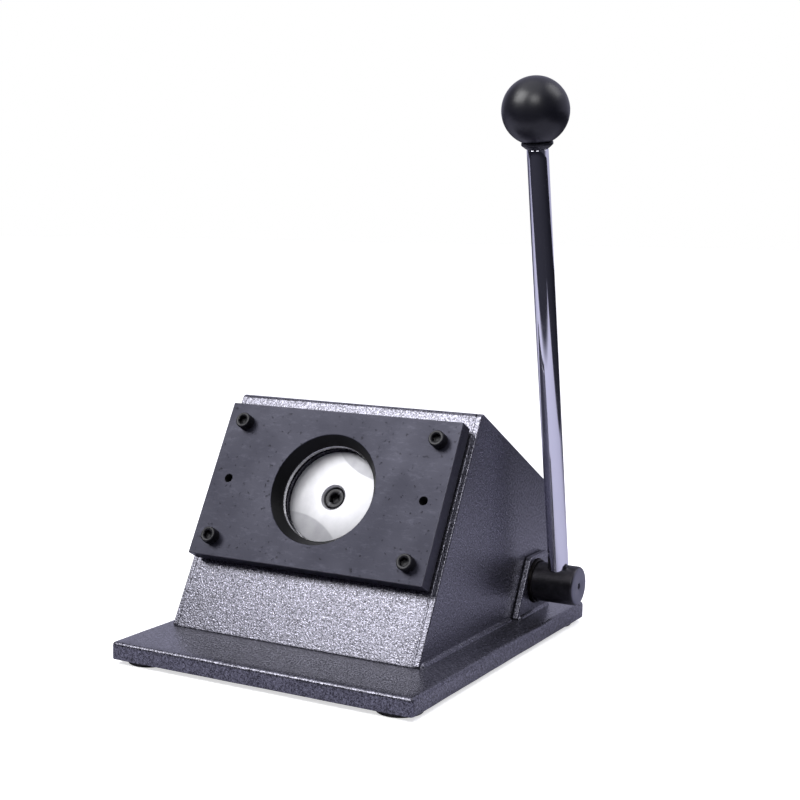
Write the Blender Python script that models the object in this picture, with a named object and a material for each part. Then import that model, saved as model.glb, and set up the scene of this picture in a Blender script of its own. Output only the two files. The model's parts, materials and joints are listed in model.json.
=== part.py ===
"""Desktop round punch for badge making: a hand lever drives a 60 mm punch through a sloping die plate.

Metres, +Z up. The lever is on the +X side and the die plate faces -Y. The origin is on the floor,
under the centre of the whole machine's box.
"""

import math

import bmesh
import bpy
from mathutils import Vector

# ---- clearances ----
GAP = 0.0003
RUNNING_GAP = 0.00035

# ---- base ----
BASE_WIDTH = 0.2000
BASE_DEPTH = 0.2400
BASE_THICKNESS = 0.0105
BASE_EDGE_RADIUS = 0.0022
FOOT_HEIGHT = 0.0030
FOOT_RADIUS = 0.0140
FOOT_INSET = 0.0165
FOOT_TAPER = 0.0008

# ---- lever ----
LEVER_OFFSET = 0.0978
LEVER_LEAN = math.radians(11.4)
LEVER_LENGTH = 0.2979
LEVER_SWING = math.radians(65.0)
ROD_RADIUS = 0.00645
ROD_STUD_RADIUS = 0.0047
KNOB_RADIUS = 0.0200
KNOB_COLLAR_RADIUS = 0.0094
KNOB_COLLAR_FOOT_RADIUS = 0.0072
KNOB_COLLAR_HEIGHT = 0.0042
KNOB_COLLAR_TAPER_SHARE = 0.55
KNOB_DEPTH = 0.0060
ROD_BELOW_AXIS = 0.0045
ROD_CHAMFER = 0.0008

# ---- the frame that the pieces are placed in ----
BASE_X = -(LEVER_OFFSET + KNOB_RADIUS - BASE_WIDTH / 2) / 2
LEVER_X = BASE_X + LEVER_OFFSET
BASE_TOP = FOOT_HEIGHT + BASE_THICKNESS
BASE_FRONT = -BASE_DEPTH / 2

# ---- housing ----
SHEET = 0.0040
HOUSING_WIDTH = 0.1700
HOUSING_MARGIN = 0.0077
HOUSING_HEIGHT = 0.1355
HOUSING_CORNER = 0.0030
SLOPE = math.radians(61.1)
HOUSING_X = BASE_X - BASE_WIDTH / 2 + HOUSING_MARGIN + HOUSING_WIDTH / 2
HOUSING_TOE = BASE_FRONT + 0.0485
HOUSING_REAR = BASE_DEPTH / 2 - HOUSING_MARGIN
SLOPE_LENGTH = HOUSING_HEIGHT / math.sin(SLOPE)
INNER_HALF_WIDTH = HOUSING_WIDTH / 2 - SHEET - GAP
COVER_THICKNESS = 0.0030
RAIL_SIZE = 0.0100
RAIL_BELOW_ROOF = 0.0010
COVER_SCREW_OFFSET = 0.0600
COVER_SCREW_RADIUS = 0.0020
COVER_SCREW_LENGTH = 0.0110
COVER_SCREW_HEAD_RADIUS = 0.0036
COVER_SCREW_HEAD_HEIGHT = 0.0022
COVER_SCREW_KEY = 0.0025

# ---- die plate, on the housing's sloping face ----
PUNCH_UP_SLOPE = 0.0930
DIE_WIDTH = 0.1616
DIE_HEIGHT = 0.1000
DIE_THICKNESS = 0.0100
DIE_CHAMFER = 0.0005
PAPER_SLOT = 0.0025
DIE_LAND_RADIUS = 0.03025
DIE_RELIEF_START = 0.0308
DIE_RELIEF_END = 0.0351
DIE_LAND_LENGTH = 0.0024
SCREW_SPACING_X = 0.1352
SCREW_SPACING_Y = 0.0754
SCREW_SHIFT_X = 0.0011
SCREW_SHIFT_Y = -0.0008
GUIDE_HOLE_OFFSET = 0.0680
GUIDE_HOLE_RADIUS = 0.0017
GUIDE_HOLE_DEPTH = 0.0080
DIE_SCREW_RADIUS = 0.0030
DIE_SCREW_LENGTH = 0.0310
DIE_SCREW_HEAD_RADIUS = 0.0050
DIE_SCREW_HEAD_HEIGHT = 0.0060
DIE_SCREW_KEY = 0.0050
DIE_SCREW_HOLE_DEPTH = 0.0200
SPACER_RADIUS = 0.0070
DIE_FRONT = PAPER_SLOT + DIE_THICKNESS

# ---- punch and its guide ----
PUNCH_RADIUS = 0.0298
PUNCH_LENGTH = 0.0180
PUNCH_REST = 0.0020
PUNCH_CHAMFER = 0.0005
PUNCH_STROKE = 0.0070
PUNCH_BORE_RADIUS = 0.0302
COUNTERBORE_RADIUS = 0.0071
COUNTERBORE_MOUTH = 0.0082
COUNTERBORE_DEPTH = 0.0096
PUNCH_SCREW_RADIUS = 0.0040
PUNCH_SCREW_LENGTH = 0.0240
PUNCH_SCREW_HEAD_RADIUS = 0.0065
PUNCH_SCREW_HEAD_HEIGHT = 0.0078
PUNCH_SCREW_KEY = 0.0060
PUNCH_HOLE_RADIUS = 0.0044
STEM_HOLE_RADIUS = 0.0043
STEM_HOLE_DEPTH = 0.0200
GUIDE_WIDTH = 0.1580
GUIDE_HEIGHT = 0.0920
GUIDE_THICKNESS = 0.0180
GUIDE_COVER_SIZE = 0.0840
GUIDE_COVER_THICKNESS = 0.0060
GUIDE_COVER_SCREW = 0.0360
GUIDE_SCREW_RADIUS = 0.0025
GUIDE_SCREW_LENGTH = 0.0160
GUIDE_SCREW_HEAD_RADIUS = 0.0042
GUIDE_SCREW_HEAD_HEIGHT = 0.0050
GUIDE_SCREW_KEY = 0.0040
GUIDE_SCREW_HOLE_DEPTH = 0.0170
STEM_RADIUS = 0.0100
FLANGE_RADIUS = 0.0170
FLANGE_THICKNESS = 0.0040

# ---- drive shaft, cam and roller ----
SHAFT_Y = BASE_FRONT + 0.2006
SHAFT_Z = FOOT_HEIGHT + 0.0301
SHAFT_RADIUS = 0.01245
SHAFT_END = LEVER_X + 0.0136
BUSH_INNER_RADIUS = SHAFT_RADIUS + RUNNING_GAP
BUSH_OUTER_RADIUS = 0.0139
BUSH_STANDS_OUT = 0.0020
BEARING_HOLE_RADIUS = BUSH_OUTER_RADIUS + GAP
BRACKET_THICKNESS = 0.0040
BRACKET_TOE = 0.0285
BRACKET_REAR = 0.0214
BRACKET_TOP = 0.0165
BRACKET_CORNER = 0.0050
BLOCK_THICKNESS = 0.0100
BLOCK_FRONT = 0.0210
BLOCK_REAR = 0.0178
BLOCK_TOP = 0.0182
BLOCK_CORNER = 0.0060
SHAFT_CHAMFER = 0.0014
SHAFT_DIMPLE = 0.0016
COLLAR_RADIUS = 0.0180
COLLAR_THICKNESS = 0.0090
ROLLER_RADIUS = 0.0090
ROLLER_WIDTH = 0.0098
ROLLER_REST = 0.0260
ROLLER_PIN_RADIUS = 0.0040
ROLLER_PIN_HEAD_RADIUS = 0.0060
ROLLER_PIN_HEAD = 0.0020
ROLLER_PIN_TAIL = 0.0025
CLIP_RADIUS = 0.0068
CLIP_THICKNESS = 0.0012
CAM_WIDTH = 0.0100
CAM_BASE_RADIUS = 0.0170
CAM_BOSS_LENGTH = 0.0100
CAM_BOSS_RADIUS = 0.0166
YOKE_HALF_WIDTH = 0.0120
YOKE_HALF_HEIGHT = 0.0100
YOKE_SLOT_HALF_WIDTH = 0.0054
YOKE_AHEAD_OF_PIN = 0.0177
YOKE_BEHIND_PIN = 0.0065
YOKE_SLOT_AHEAD_OF_PIN = 0.0115
KEY_SIZE = 0.0040
SET_SCREW_RADIUS = 0.0030
SET_SCREW_KEY = 0.0030
CUT_MARGIN = 0.0010
CAM_TURN_STEP = 0.001
POCKET_DEGREES = (12, 24, 36, 48)

# ---- return spring ----
SPRING_RADIUS = 0.0130
SPRING_WIRE_RADIUS = 0.0013
SPRING_TURNS = 7
SPRING_POINTS_PER_TURN = 12

# ---- directions ----
ALONG_X = (math.pi / 2, 0, math.pi / 2)
TOWARDS_REAR = (-math.pi / 2, 0, 0)
FULL_TURN = 2 * math.pi


# ---------------------------------------------------------------- geometry helpers

def slope_point(up, out):
    """World (y, z) of a point up the sloping face from its foot, and out from that face."""
    y = HOUSING_TOE + up * math.cos(SLOPE) - out * math.sin(SLOPE)
    z = BASE_TOP + up * math.sin(SLOPE) + out * math.cos(SLOPE)
    return y, z


def rear_depth(up):
    """How far in from the sloping face the housing's rear plane is, at a height up the slope."""
    return (HOUSING_REAR - HOUSING_TOE - up * math.cos(SLOPE)) / math.sin(SLOPE)


def shaft_in_slope_frame():
    """The shaft axis as (up, out) from the punch axis on the sloping face."""
    y, z = slope_point(PUNCH_UP_SLOPE, 0)
    away_y = SHAFT_Y - y
    away_z = SHAFT_Z - z
    up = away_y * math.cos(SLOPE) + away_z * math.sin(SLOPE)
    out = -away_y * math.sin(SLOPE) + away_z * math.cos(SLOPE)
    return up, out


def polar(radius, angle):
    """A point at a radius and an angle from the first axis."""
    return radius * math.cos(angle), radius * math.sin(angle)


def hexagon(across_flats):
    """The radius of a hexagon as a function of angle."""
    def radius(angle):
        from_flat = (angle + math.pi / 6) % (math.pi / 3) - math.pi / 6
        return across_flats / 2 / math.cos(from_flat)
    return radius


def rounded(outline, radii, steps=4):
    """An outline whose corners are replaced by arcs; a radius of 0 leaves a corner sharp."""
    points = []
    count = len(outline)
    for index, radius in enumerate(radii):
        corner = Vector(outline[index])
        if radius == 0:
            points.append(tuple(corner))
            continue
        back = (Vector(outline[index - 1]) - corner).normalized()
        onward = (Vector(outline[(index + 1) % count]) - corner).normalized()
        half = back.angle(onward) / 2
        centre = corner + (back + onward).normalized() * radius / math.sin(half)
        reach = radius / math.tan(half)
        start = corner + back * reach - centre
        end = corner + onward * reach - centre
        for step in range(steps + 1):
            spoke = start.lerp(end, step / steps).normalized() * radius
            points.append(tuple(centre + spoke))
    return points


# ---------------------------------------------------------------- mesh helpers

def finish_mesh(shape, sharp_angle=35):
    """Turn a bmesh into mesh data with its faces pointing out and its round faces smooth."""
    bmesh.ops.recalc_face_normals(shape, faces=shape.faces)
    data = bpy.data.meshes.new("shape")
    shape.to_mesh(data)
    shape.free()
    data.shade_smooth()
    data.set_sharp_from_angle(angle=math.radians(sharp_angle))
    return data


def turned(rings, segments, closed=False):
    """A shape turned about local Z from (radius, height) rings; closed joins the last to the first."""
    shape = bmesh.new()
    angles = [FULL_TURN * step / segments for step in range(segments)]
    loops = []
    for radius, height in rings:
        if radius == 0:
            loops.append([shape.verts.new((0, 0, height))] * segments)
            continue
        loop = []
        for angle in angles:
            reach = radius(angle) if callable(radius) else radius
            loop.append(shape.verts.new((*polar(reach, angle), height)))
        loops.append(loop)
    pairs = list(zip(loops, loops[1:]))
    if closed:
        pairs.append((loops[-1], loops[0]))
    for lower, upper in pairs:
        for step in range(segments):
            onward = (step + 1) % segments
            corners = [lower[step], lower[onward], upper[onward], upper[step]]
            shape.faces.new(list(dict.fromkeys(corners)))
    return finish_mesh(shape)


def prism(outline, low, high):
    """An outline in the local XY plane, extruded from low to high along local Z."""
    shape = bmesh.new()
    face = shape.faces.new([shape.verts.new((x, y, low)) for x, y in outline])
    grown = bmesh.ops.extrude_face_region(shape, geom=[face])
    top = [part for part in grown["geom"] if isinstance(part, bmesh.types.BMVert)]
    bmesh.ops.translate(shape, verts=top, vec=(0, 0, high - low))
    return finish_mesh(shape)


def block(low, high, edge_width=0.0):
    """A box between two corners, its edges chamfered by edge_width."""
    shape = bmesh.new()
    bmesh.ops.create_cube(shape, size=1)
    size = [top - bottom for bottom, top in zip(low, high)]
    middle = [(top + bottom) / 2 for bottom, top in zip(low, high)]
    bmesh.ops.scale(shape, vec=size, verts=shape.verts)
    bmesh.ops.translate(shape, vec=middle, verts=shape.verts)
    if edge_width:
        bmesh.ops.bevel(shape, geom=list(shape.edges), offset=edge_width, segments=1, affect="EDGES")
    return finish_mesh(shape)


def socket_screw(head_radius, head_height, shank_radius, length, key, segments):
    """A cap screw: its head stands on local Z = 0 and its shank goes down from there."""
    bevel = head_radius * 0.08
    socket_floor = head_height * 0.5
    return turned([
        (0, -length),
        (shank_radius, -length),
        (shank_radius, 0),
        (head_radius, 0),
        (head_radius, head_height - bevel),
        (head_radius - bevel, head_height),
        (hexagon(key), head_height),
        (hexagon(key), socket_floor),
        (0, socket_floor),
    ], segments)


def set_screw(radius, length, key):
    """A headless screw from local Z = 0 up, with its socket at the top."""
    return turned([
        (0, 0),
        (radius, 0),
        (radius, length),
        (hexagon(key), length),
        (hexagon(key), length * 0.5),
        (0, length * 0.5),
    ], 12)


# ---------------------------------------------------------------- objects

def material(name, color, roughness, metallic):
    """A plain Principled material."""
    made = bpy.data.materials.new(name)
    made.use_nodes = True
    shader = made.node_tree.nodes["Principled BSDF"]
    shader.inputs["Base Color"].default_value = (*color, 1)
    shader.inputs["Roughness"].default_value = roughness
    shader.inputs["Metallic"].default_value = metallic
    return made


def add_empty(name, location, rotation):
    """A reference frame that pieces are parented to."""
    empty = bpy.data.objects.new(name, None)
    empty.location = location
    empty.rotation_euler = rotation
    bpy.context.collection.objects.link(empty)
    return empty


def add(name, data, finish, location=(0, 0, 0), rotation=(0, 0, 0), parent=None):
    """A named piece of the machine."""
    piece = bpy.data.objects.new(name, data)
    if finish and not data.materials:
        data.materials.append(finish)
    piece.location = location
    piece.rotation_euler = rotation
    piece.parent = parent
    bpy.context.collection.objects.link(piece)
    return piece


def add_cutter(name, data, location=(0, 0, 0), rotation=(0, 0, 0), parent=None):
    """A shape that only removes material from other pieces."""
    cutter = add(name, data, None, location, rotation, parent)
    cutter.hide_render = True
    cutter.display_type = "WIRE"
    return cutter


def combine(piece, other, operation="DIFFERENCE"):
    """Cut other out of piece, or join it on."""
    modifier = piece.modifiers.new(other.name, "BOOLEAN")
    modifier.operation = operation
    modifier.solver = "EXACT"
    modifier.object = other


def drill(radius, low, high, segments=16):
    """A round cutter's mesh along local Z."""
    return turned([(0, low), (radius, low), (radius, high), (0, high)], segments)


# ---------------------------------------------------------------- base and feet

def make_base(paint, rubber):
    """The thick base plate with rounded edges, and a round foot under each corner."""
    shape = bmesh.new()
    bmesh.ops.create_cube(shape, size=1)
    bmesh.ops.scale(shape, vec=(BASE_WIDTH, BASE_DEPTH, BASE_THICKNESS), verts=shape.verts)
    rounded_edges = []
    for edge in shape.edges:
        if any(vert.co.z > 0 for vert in edge.verts):
            rounded_edges.append(edge)
    bmesh.ops.bevel(shape, geom=rounded_edges, offset=BASE_EDGE_RADIUS, segments=3, profile=0.5,
                    affect="EDGES")
    add("base_plate", finish_mesh(shape), paint, (BASE_X, 0, FOOT_HEIGHT + BASE_THICKNESS / 2))

    foot_top = FOOT_HEIGHT - GAP
    foot_data = turned([
        (0, 0),
        (FOOT_RADIUS - FOOT_TAPER, 0),
        (FOOT_RADIUS, foot_top),
        (0, foot_top),
    ], 20)
    reach_x = BASE_WIDTH / 2 - FOOT_INSET
    reach_y = BASE_DEPTH / 2 - FOOT_INSET
    for side, sign_x in (("left", -1), ("right", 1)):
        for end, sign_y in (("front", -1), ("rear", 1)):
            add(f"foot_{end}_{side}", foot_data, rubber, (BASE_X + sign_x * reach_x, sign_y * reach_y, 0))


# ---------------------------------------------------------------- housing

def side_outline():
    """The housing's side view as (y, z): a sloping front, a roof square to it and an upright rear."""
    toe = slope_point(GAP / math.sin(SLOPE), 0)
    top_front = slope_point(SLOPE_LENGTH, 0)
    top_rear = slope_point(SLOPE_LENGTH, -rear_depth(SLOPE_LENGTH))
    outline = [toe, top_front, top_rear, (HOUSING_REAR, BASE_TOP + GAP)]
    return rounded(outline, [0, HOUSING_CORNER, HOUSING_CORNER, 0])


def make_side_plates(paint, bearing_cutter):
    """The two flat side plates that the bent sheet is welded between."""
    outline = side_outline()
    half = HOUSING_WIDTH / 2
    add("side_plate_left", prism(outline, -half, -half + SHEET), paint, (HOUSING_X, 0, 0), ALONG_X)
    right = add("side_plate_right", prism(outline, half - SHEET, half), paint, (HOUSING_X, 0, 0), ALONG_X)
    combine(right, bearing_cutter)


def make_housing_sheet(paint, slope_frame, screw_cutters):
    """The bent sheet that is the sloping face and the roof."""
    inner_up = SLOPE_LENGTH - SHEET
    inner_toe = (GAP + SHEET * math.cos(SLOPE)) / math.sin(SLOPE)
    outline = [
        slope_point(GAP / math.sin(SLOPE), 0),
        slope_point(SLOPE_LENGTH, 0),
        slope_point(SLOPE_LENGTH, -rear_depth(SLOPE_LENGTH)),
        slope_point(inner_up, -rear_depth(inner_up)),
        slope_point(inner_up, -SHEET),
        slope_point(inner_toe, -SHEET),
    ]
    outline = rounded(outline, [0, HOUSING_CORNER, 0, 0, 0, 0])
    sheet_data = prism(outline, -INNER_HALF_WIDTH, INNER_HALF_WIDTH)
    sheet = add("housing_sheet", sheet_data, paint, (HOUSING_X, 0, 0), ALONG_X)
    opening = drill(PUNCH_BORE_RADIUS + GAP, -SHEET - CUT_MARGIN, CUT_MARGIN, 48)
    combine(sheet, add_cutter("cut_sheet_opening", opening, parent=slope_frame))
    for cutter in screw_cutters:
        combine(sheet, cutter)


def make_rear_cover(paint, steel, black_oxide):
    """The removable rear cover, the two bars it is screwed to and its four screws."""
    roof_underside = slope_point(SLOPE_LENGTH - SHEET, -rear_depth(SLOPE_LENGTH - SHEET))[1]
    cover_front = HOUSING_REAR - COVER_THICKNESS
    cover_low = BASE_TOP + GAP
    cover_high = roof_underside - GAP
    cover = add("rear_cover", block(
        (-INNER_HALF_WIDTH, cover_front, cover_low),
        (INNER_HALF_WIDTH, HOUSING_REAR, cover_high),
    ), paint, (HOUSING_X, 0, 0))

    screw_data = socket_screw(COVER_SCREW_HEAD_RADIUS, COVER_SCREW_HEAD_HEIGHT, COVER_SCREW_RADIUS,
                              COVER_SCREW_LENGTH, COVER_SCREW_KEY, 12)
    hole = drill(COVER_SCREW_RADIUS + GAP, -COVER_SCREW_LENGTH - CUT_MARGIN, CUT_MARGIN, 12)
    rail_rear = cover_front - GAP
    for level, rail_low in (("bottom", cover_low), ("top", cover_high - RAIL_SIZE - RAIL_BELOW_ROOF)):
        rail = add(f"cover_rail_{level}", block(
            (-INNER_HALF_WIDTH, rail_rear - RAIL_SIZE, rail_low),
            (INNER_HALF_WIDTH, rail_rear, rail_low + RAIL_SIZE),
        ), steel, (HOUSING_X, 0, 0))
        screw_z = rail_low + RAIL_SIZE / 2
        for side, sign in (("left", -1), ("right", 1)):
            place = (HOUSING_X + sign * COVER_SCREW_OFFSET, HOUSING_REAR, screw_z)
            cutter = add_cutter(f"cut_cover_{level}_{side}", hole, place, TOWARDS_REAR)
            combine(cover, cutter)
            combine(rail, cutter)
            head_seat = (place[0], HOUSING_REAR + GAP, screw_z)
            add(f"cover_screw_{level}_{side}", screw_data, black_oxide, head_seat, TOWARDS_REAR)


# ---------------------------------------------------------------- die plate

def screw_places():
    """The four die screws as (name, x, y) in the slope frame."""
    places = []
    for level, sign_y in (("lower", -1), ("upper", 1)):
        for side, sign_x in (("left", -1), ("right", 1)):
            x = SCREW_SHIFT_X + sign_x * SCREW_SPACING_X / 2
            y = SCREW_SHIFT_Y + sign_y * SCREW_SPACING_Y / 2
            places.append((f"{level}_{side}", x, y))
    return places


def make_screw_cutters(slope_frame):
    """One hole per die screw, through the plate and the sheet and into the guide block."""
    hole = drill(DIE_SCREW_RADIUS + GAP, -DIE_SCREW_HOLE_DEPTH, DIE_FRONT + CUT_MARGIN, 16)
    cutters = []
    for name, x, y in screw_places():
        cutters.append(add_cutter(f"cut_screw_{name}", hole, (x, y, 0), parent=slope_frame))
    return cutters


def make_die_plate(black_oxide, steel, slope_frame, screw_cutters):
    """The die plate with its ground cutting land, held off the sloping face to leave a paper slot."""
    half_x = DIE_WIDTH / 2
    half_y = DIE_HEIGHT / 2
    plate_data = block((-half_x, -half_y, PAPER_SLOT), (half_x, half_y, DIE_FRONT), DIE_CHAMFER)
    plate = add("die_plate", plate_data, black_oxide, parent=slope_frame)
    land_end = PAPER_SLOT + DIE_LAND_LENGTH
    opening = turned([
        (0, PAPER_SLOT - CUT_MARGIN),
        (DIE_LAND_RADIUS, PAPER_SLOT - CUT_MARGIN),
        (DIE_LAND_RADIUS, land_end),
        (DIE_RELIEF_START, land_end),
        (DIE_RELIEF_END, DIE_FRONT),
        (DIE_RELIEF_END, DIE_FRONT + CUT_MARGIN),
        (0, DIE_FRONT + CUT_MARGIN),
    ], 64)
    combine(plate, add_cutter("cut_die_opening", opening, parent=slope_frame))
    for cutter in screw_cutters:
        combine(plate, cutter)
    hole = drill(GUIDE_HOLE_RADIUS, DIE_FRONT - GUIDE_HOLE_DEPTH, DIE_FRONT + CUT_MARGIN, 12)
    for side, sign in (("left", -1), ("right", 1)):
        place = (sign * GUIDE_HOLE_OFFSET, 0, 0)
        combine(plate, add_cutter(f"cut_guide_hole_{side}", hole, place, parent=slope_frame))

    screw_data = socket_screw(DIE_SCREW_HEAD_RADIUS, DIE_SCREW_HEAD_HEIGHT, DIE_SCREW_RADIUS,
                              DIE_SCREW_LENGTH, DIE_SCREW_KEY, 24)
    spacer_bore = DIE_SCREW_RADIUS + GAP
    spacer_data = turned([
        (spacer_bore, GAP),
        (SPACER_RADIUS, GAP),
        (SPACER_RADIUS, PAPER_SLOT - GAP),
        (spacer_bore, PAPER_SLOT - GAP),
    ], 20, closed=True)
    for name, x, y in screw_places():
        add(f"slot_spacer_{name}", spacer_data, steel, (x, y, 0), parent=slope_frame)
        add(f"die_screw_{name}", screw_data, black_oxide, (x, y, DIE_FRONT + GAP), parent=slope_frame)


# ---------------------------------------------------------------- punch, guide and ram

def make_guide(steel, black_oxide, slope_frame, screw_cutters):
    """The block that guides the punch behind the sloping face, and the cover that closes it."""
    front = -SHEET - GAP
    rear = front - GUIDE_THICKNESS
    half_x = GUIDE_WIDTH / 2
    half_y = GUIDE_HEIGHT / 2
    guide = add("guide_block", block((-half_x, -half_y, rear), (half_x, half_y, front)), steel,
                parent=slope_frame)
    bore = drill(PUNCH_BORE_RADIUS, rear - CUT_MARGIN, front + CUT_MARGIN, 48)
    combine(guide, add_cutter("cut_guide_bore", bore, parent=slope_frame))
    for cutter in screw_cutters:
        combine(guide, cutter)

    cover_front = rear - GAP
    cover_rear = cover_front - GUIDE_COVER_THICKNESS
    half = GUIDE_COVER_SIZE / 2
    cover = add("guide_cover", block((-half, -half, cover_rear), (half, half, cover_front)), steel,
                parent=slope_frame)
    stem_hole = drill(STEM_RADIUS + RUNNING_GAP, cover_rear - CUT_MARGIN, cover_front + CUT_MARGIN, 28)
    combine(cover, add_cutter("cut_stem_hole", stem_hole, parent=slope_frame))
    screw_data = socket_screw(GUIDE_SCREW_HEAD_RADIUS, GUIDE_SCREW_HEAD_HEIGHT, GUIDE_SCREW_RADIUS,
                              GUIDE_SCREW_LENGTH, GUIDE_SCREW_KEY, 12)
    hole = drill(GUIDE_SCREW_RADIUS + GAP, -CUT_MARGIN, GUIDE_SCREW_HOLE_DEPTH, 12)
    for level, sign_y in (("lower", -1), ("upper", 1)):
        for side, sign_x in (("left", -1), ("right", 1)):
            place = (sign_x * GUIDE_COVER_SCREW, sign_y * GUIDE_COVER_SCREW, cover_rear)
            cutter = add_cutter(f"cut_guide_{level}_{side}", hole, place, parent=slope_frame)
            combine(cover, cutter)
            combine(guide, cutter)
            seat = (place[0], place[1], cover_rear - GAP)
            add(f"guide_screw_{level}_{side}", screw_data, black_oxide, seat, (math.pi, 0, 0), slope_frame)
    return cover_rear


def make_punch(ground_steel, black_oxide, slope_frame):
    """The round punch, with a counterbored screw that holds it to the ram."""
    face = -PUNCH_REST
    rear = face - PUNCH_LENGTH
    seat = face - COUNTERBORE_DEPTH
    mouth_depth = COUNTERBORE_MOUTH - COUNTERBORE_RADIUS
    add("punch", turned([
        (PUNCH_HOLE_RADIUS, rear),
        (PUNCH_RADIUS, rear),
        (PUNCH_RADIUS, face - PUNCH_CHAMFER),
        (PUNCH_RADIUS - PUNCH_CHAMFER, face),
        (COUNTERBORE_MOUTH, face),
        (COUNTERBORE_RADIUS, face - mouth_depth),
        (COUNTERBORE_RADIUS, seat),
        (PUNCH_HOLE_RADIUS, seat),
    ], 48, closed=True), ground_steel, parent=slope_frame)
    screw_data = socket_screw(PUNCH_SCREW_HEAD_RADIUS, PUNCH_SCREW_HEAD_HEIGHT, PUNCH_SCREW_RADIUS,
                              PUNCH_SCREW_LENGTH, PUNCH_SCREW_KEY, 24)
    add("punch_screw", screw_data, black_oxide, (0, 0, seat + GAP), parent=slope_frame)
    return rear


def make_ram(steel, slope_frame, punch_rear):
    """The ram: a round stem with a spring flange and a forked end that holds the roller."""
    shaft_out = shaft_in_slope_frame()[1]
    pin_out = shaft_out + ROLLER_REST
    yoke_front = pin_out + YOKE_AHEAD_OF_PIN
    yoke_rear = pin_out - YOKE_BEHIND_PIN
    flange_front = yoke_front + FLANGE_THICKNESS
    stem_front = punch_rear - GAP
    ram = add("ram", turned([
        (0, yoke_front),
        (FLANGE_RADIUS, yoke_front),
        (FLANGE_RADIUS, flange_front),
        (STEM_RADIUS, flange_front),
        (STEM_RADIUS, stem_front),
        (STEM_HOLE_RADIUS, stem_front),
        (STEM_HOLE_RADIUS, stem_front - STEM_HOLE_DEPTH),
        (0, stem_front - STEM_HOLE_DEPTH),
    ], 28), steel, parent=slope_frame)
    fork = add_cutter("join_fork", block(
        (-YOKE_HALF_WIDTH, -YOKE_HALF_HEIGHT, yoke_rear),
        (YOKE_HALF_WIDTH, YOKE_HALF_HEIGHT, yoke_front + CUT_MARGIN),
    ), parent=slope_frame)
    combine(ram, fork, "UNION")
    slot_half_height = YOKE_HALF_HEIGHT + CUT_MARGIN
    slot = add_cutter("cut_fork_slot", block(
        (-YOKE_SLOT_HALF_WIDTH, -slot_half_height, yoke_rear - CUT_MARGIN),
        (YOKE_SLOT_HALF_WIDTH, slot_half_height, pin_out + YOKE_SLOT_AHEAD_OF_PIN),
    ), parent=slope_frame)
    combine(ram, slot)
    pin_reach = YOKE_HALF_WIDTH + CUT_MARGIN
    pin_hole = drill(ROLLER_PIN_RADIUS + GAP, -pin_reach, pin_reach, 16)
    combine(ram, add_cutter("cut_pin_hole", pin_hole, (0, 0, pin_out), (0, math.pi / 2, 0), slope_frame))
    return pin_out, flange_front


def make_roller(ground_steel, steel, slope_frame, pin_out):
    """The roller that follows the cam, its pin and the clip on the pin's end."""
    half = ROLLER_WIDTH / 2
    place = (0, 0, pin_out)
    across = (0, math.pi / 2, 0)
    add("roller", turned([
        (ROLLER_PIN_RADIUS + GAP, -half),
        (ROLLER_RADIUS, -half),
        (ROLLER_RADIUS, half),
        (ROLLER_PIN_RADIUS + GAP, half),
    ], 32, closed=True), ground_steel, place, across, slope_frame)
    head = -YOKE_HALF_WIDTH - GAP
    tail = YOKE_HALF_WIDTH + ROLLER_PIN_TAIL
    add("roller_pin", turned([
        (0, head - ROLLER_PIN_HEAD),
        (ROLLER_PIN_HEAD_RADIUS, head - ROLLER_PIN_HEAD),
        (ROLLER_PIN_HEAD_RADIUS, head),
        (ROLLER_PIN_RADIUS, head),
        (ROLLER_PIN_RADIUS, tail),
        (0, tail),
    ], 16), steel, place, across, slope_frame)
    clip_low = YOKE_HALF_WIDTH + GAP
    clip_high = clip_low + CLIP_THICKNESS
    add("pin_clip", turned([
        (ROLLER_PIN_RADIUS + GAP, clip_low),
        (CLIP_RADIUS, clip_low),
        (CLIP_RADIUS, clip_high),
        (ROLLER_PIN_RADIUS + GAP, clip_high),
    ], 16, closed=True), steel, place, across, slope_frame)


def make_return_spring(spring_steel, slope_frame, cover_rear, flange_front):
    """The compression spring round the ram, between the guide cover and the ram's flange."""
    near = cover_rear - GAP - SPRING_WIRE_RADIUS
    far = flange_front + GAP + SPRING_WIRE_RADIUS
    count = SPRING_TURNS * SPRING_POINTS_PER_TURN
    curve = bpy.data.curves.new("spring_path", "CURVE")
    curve.dimensions = "3D"
    curve.bevel_depth = SPRING_WIRE_RADIUS
    curve.bevel_resolution = 1
    curve.use_fill_caps = True
    spline = curve.splines.new("POLY")
    spline.points.add(count)
    for index, point in enumerate(spline.points):
        share = index / count
        x, y = polar(SPRING_RADIUS, FULL_TURN * SPRING_TURNS * share)
        point.co = (x, y, near + (far - near) * share, 1)
    curve.materials.append(spring_steel)
    spring = bpy.data.objects.new("return_spring", curve)
    spring.parent = slope_frame
    bpy.context.collection.objects.link(spring)


# ---------------------------------------------------------------- shaft, bearings and cam

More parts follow.
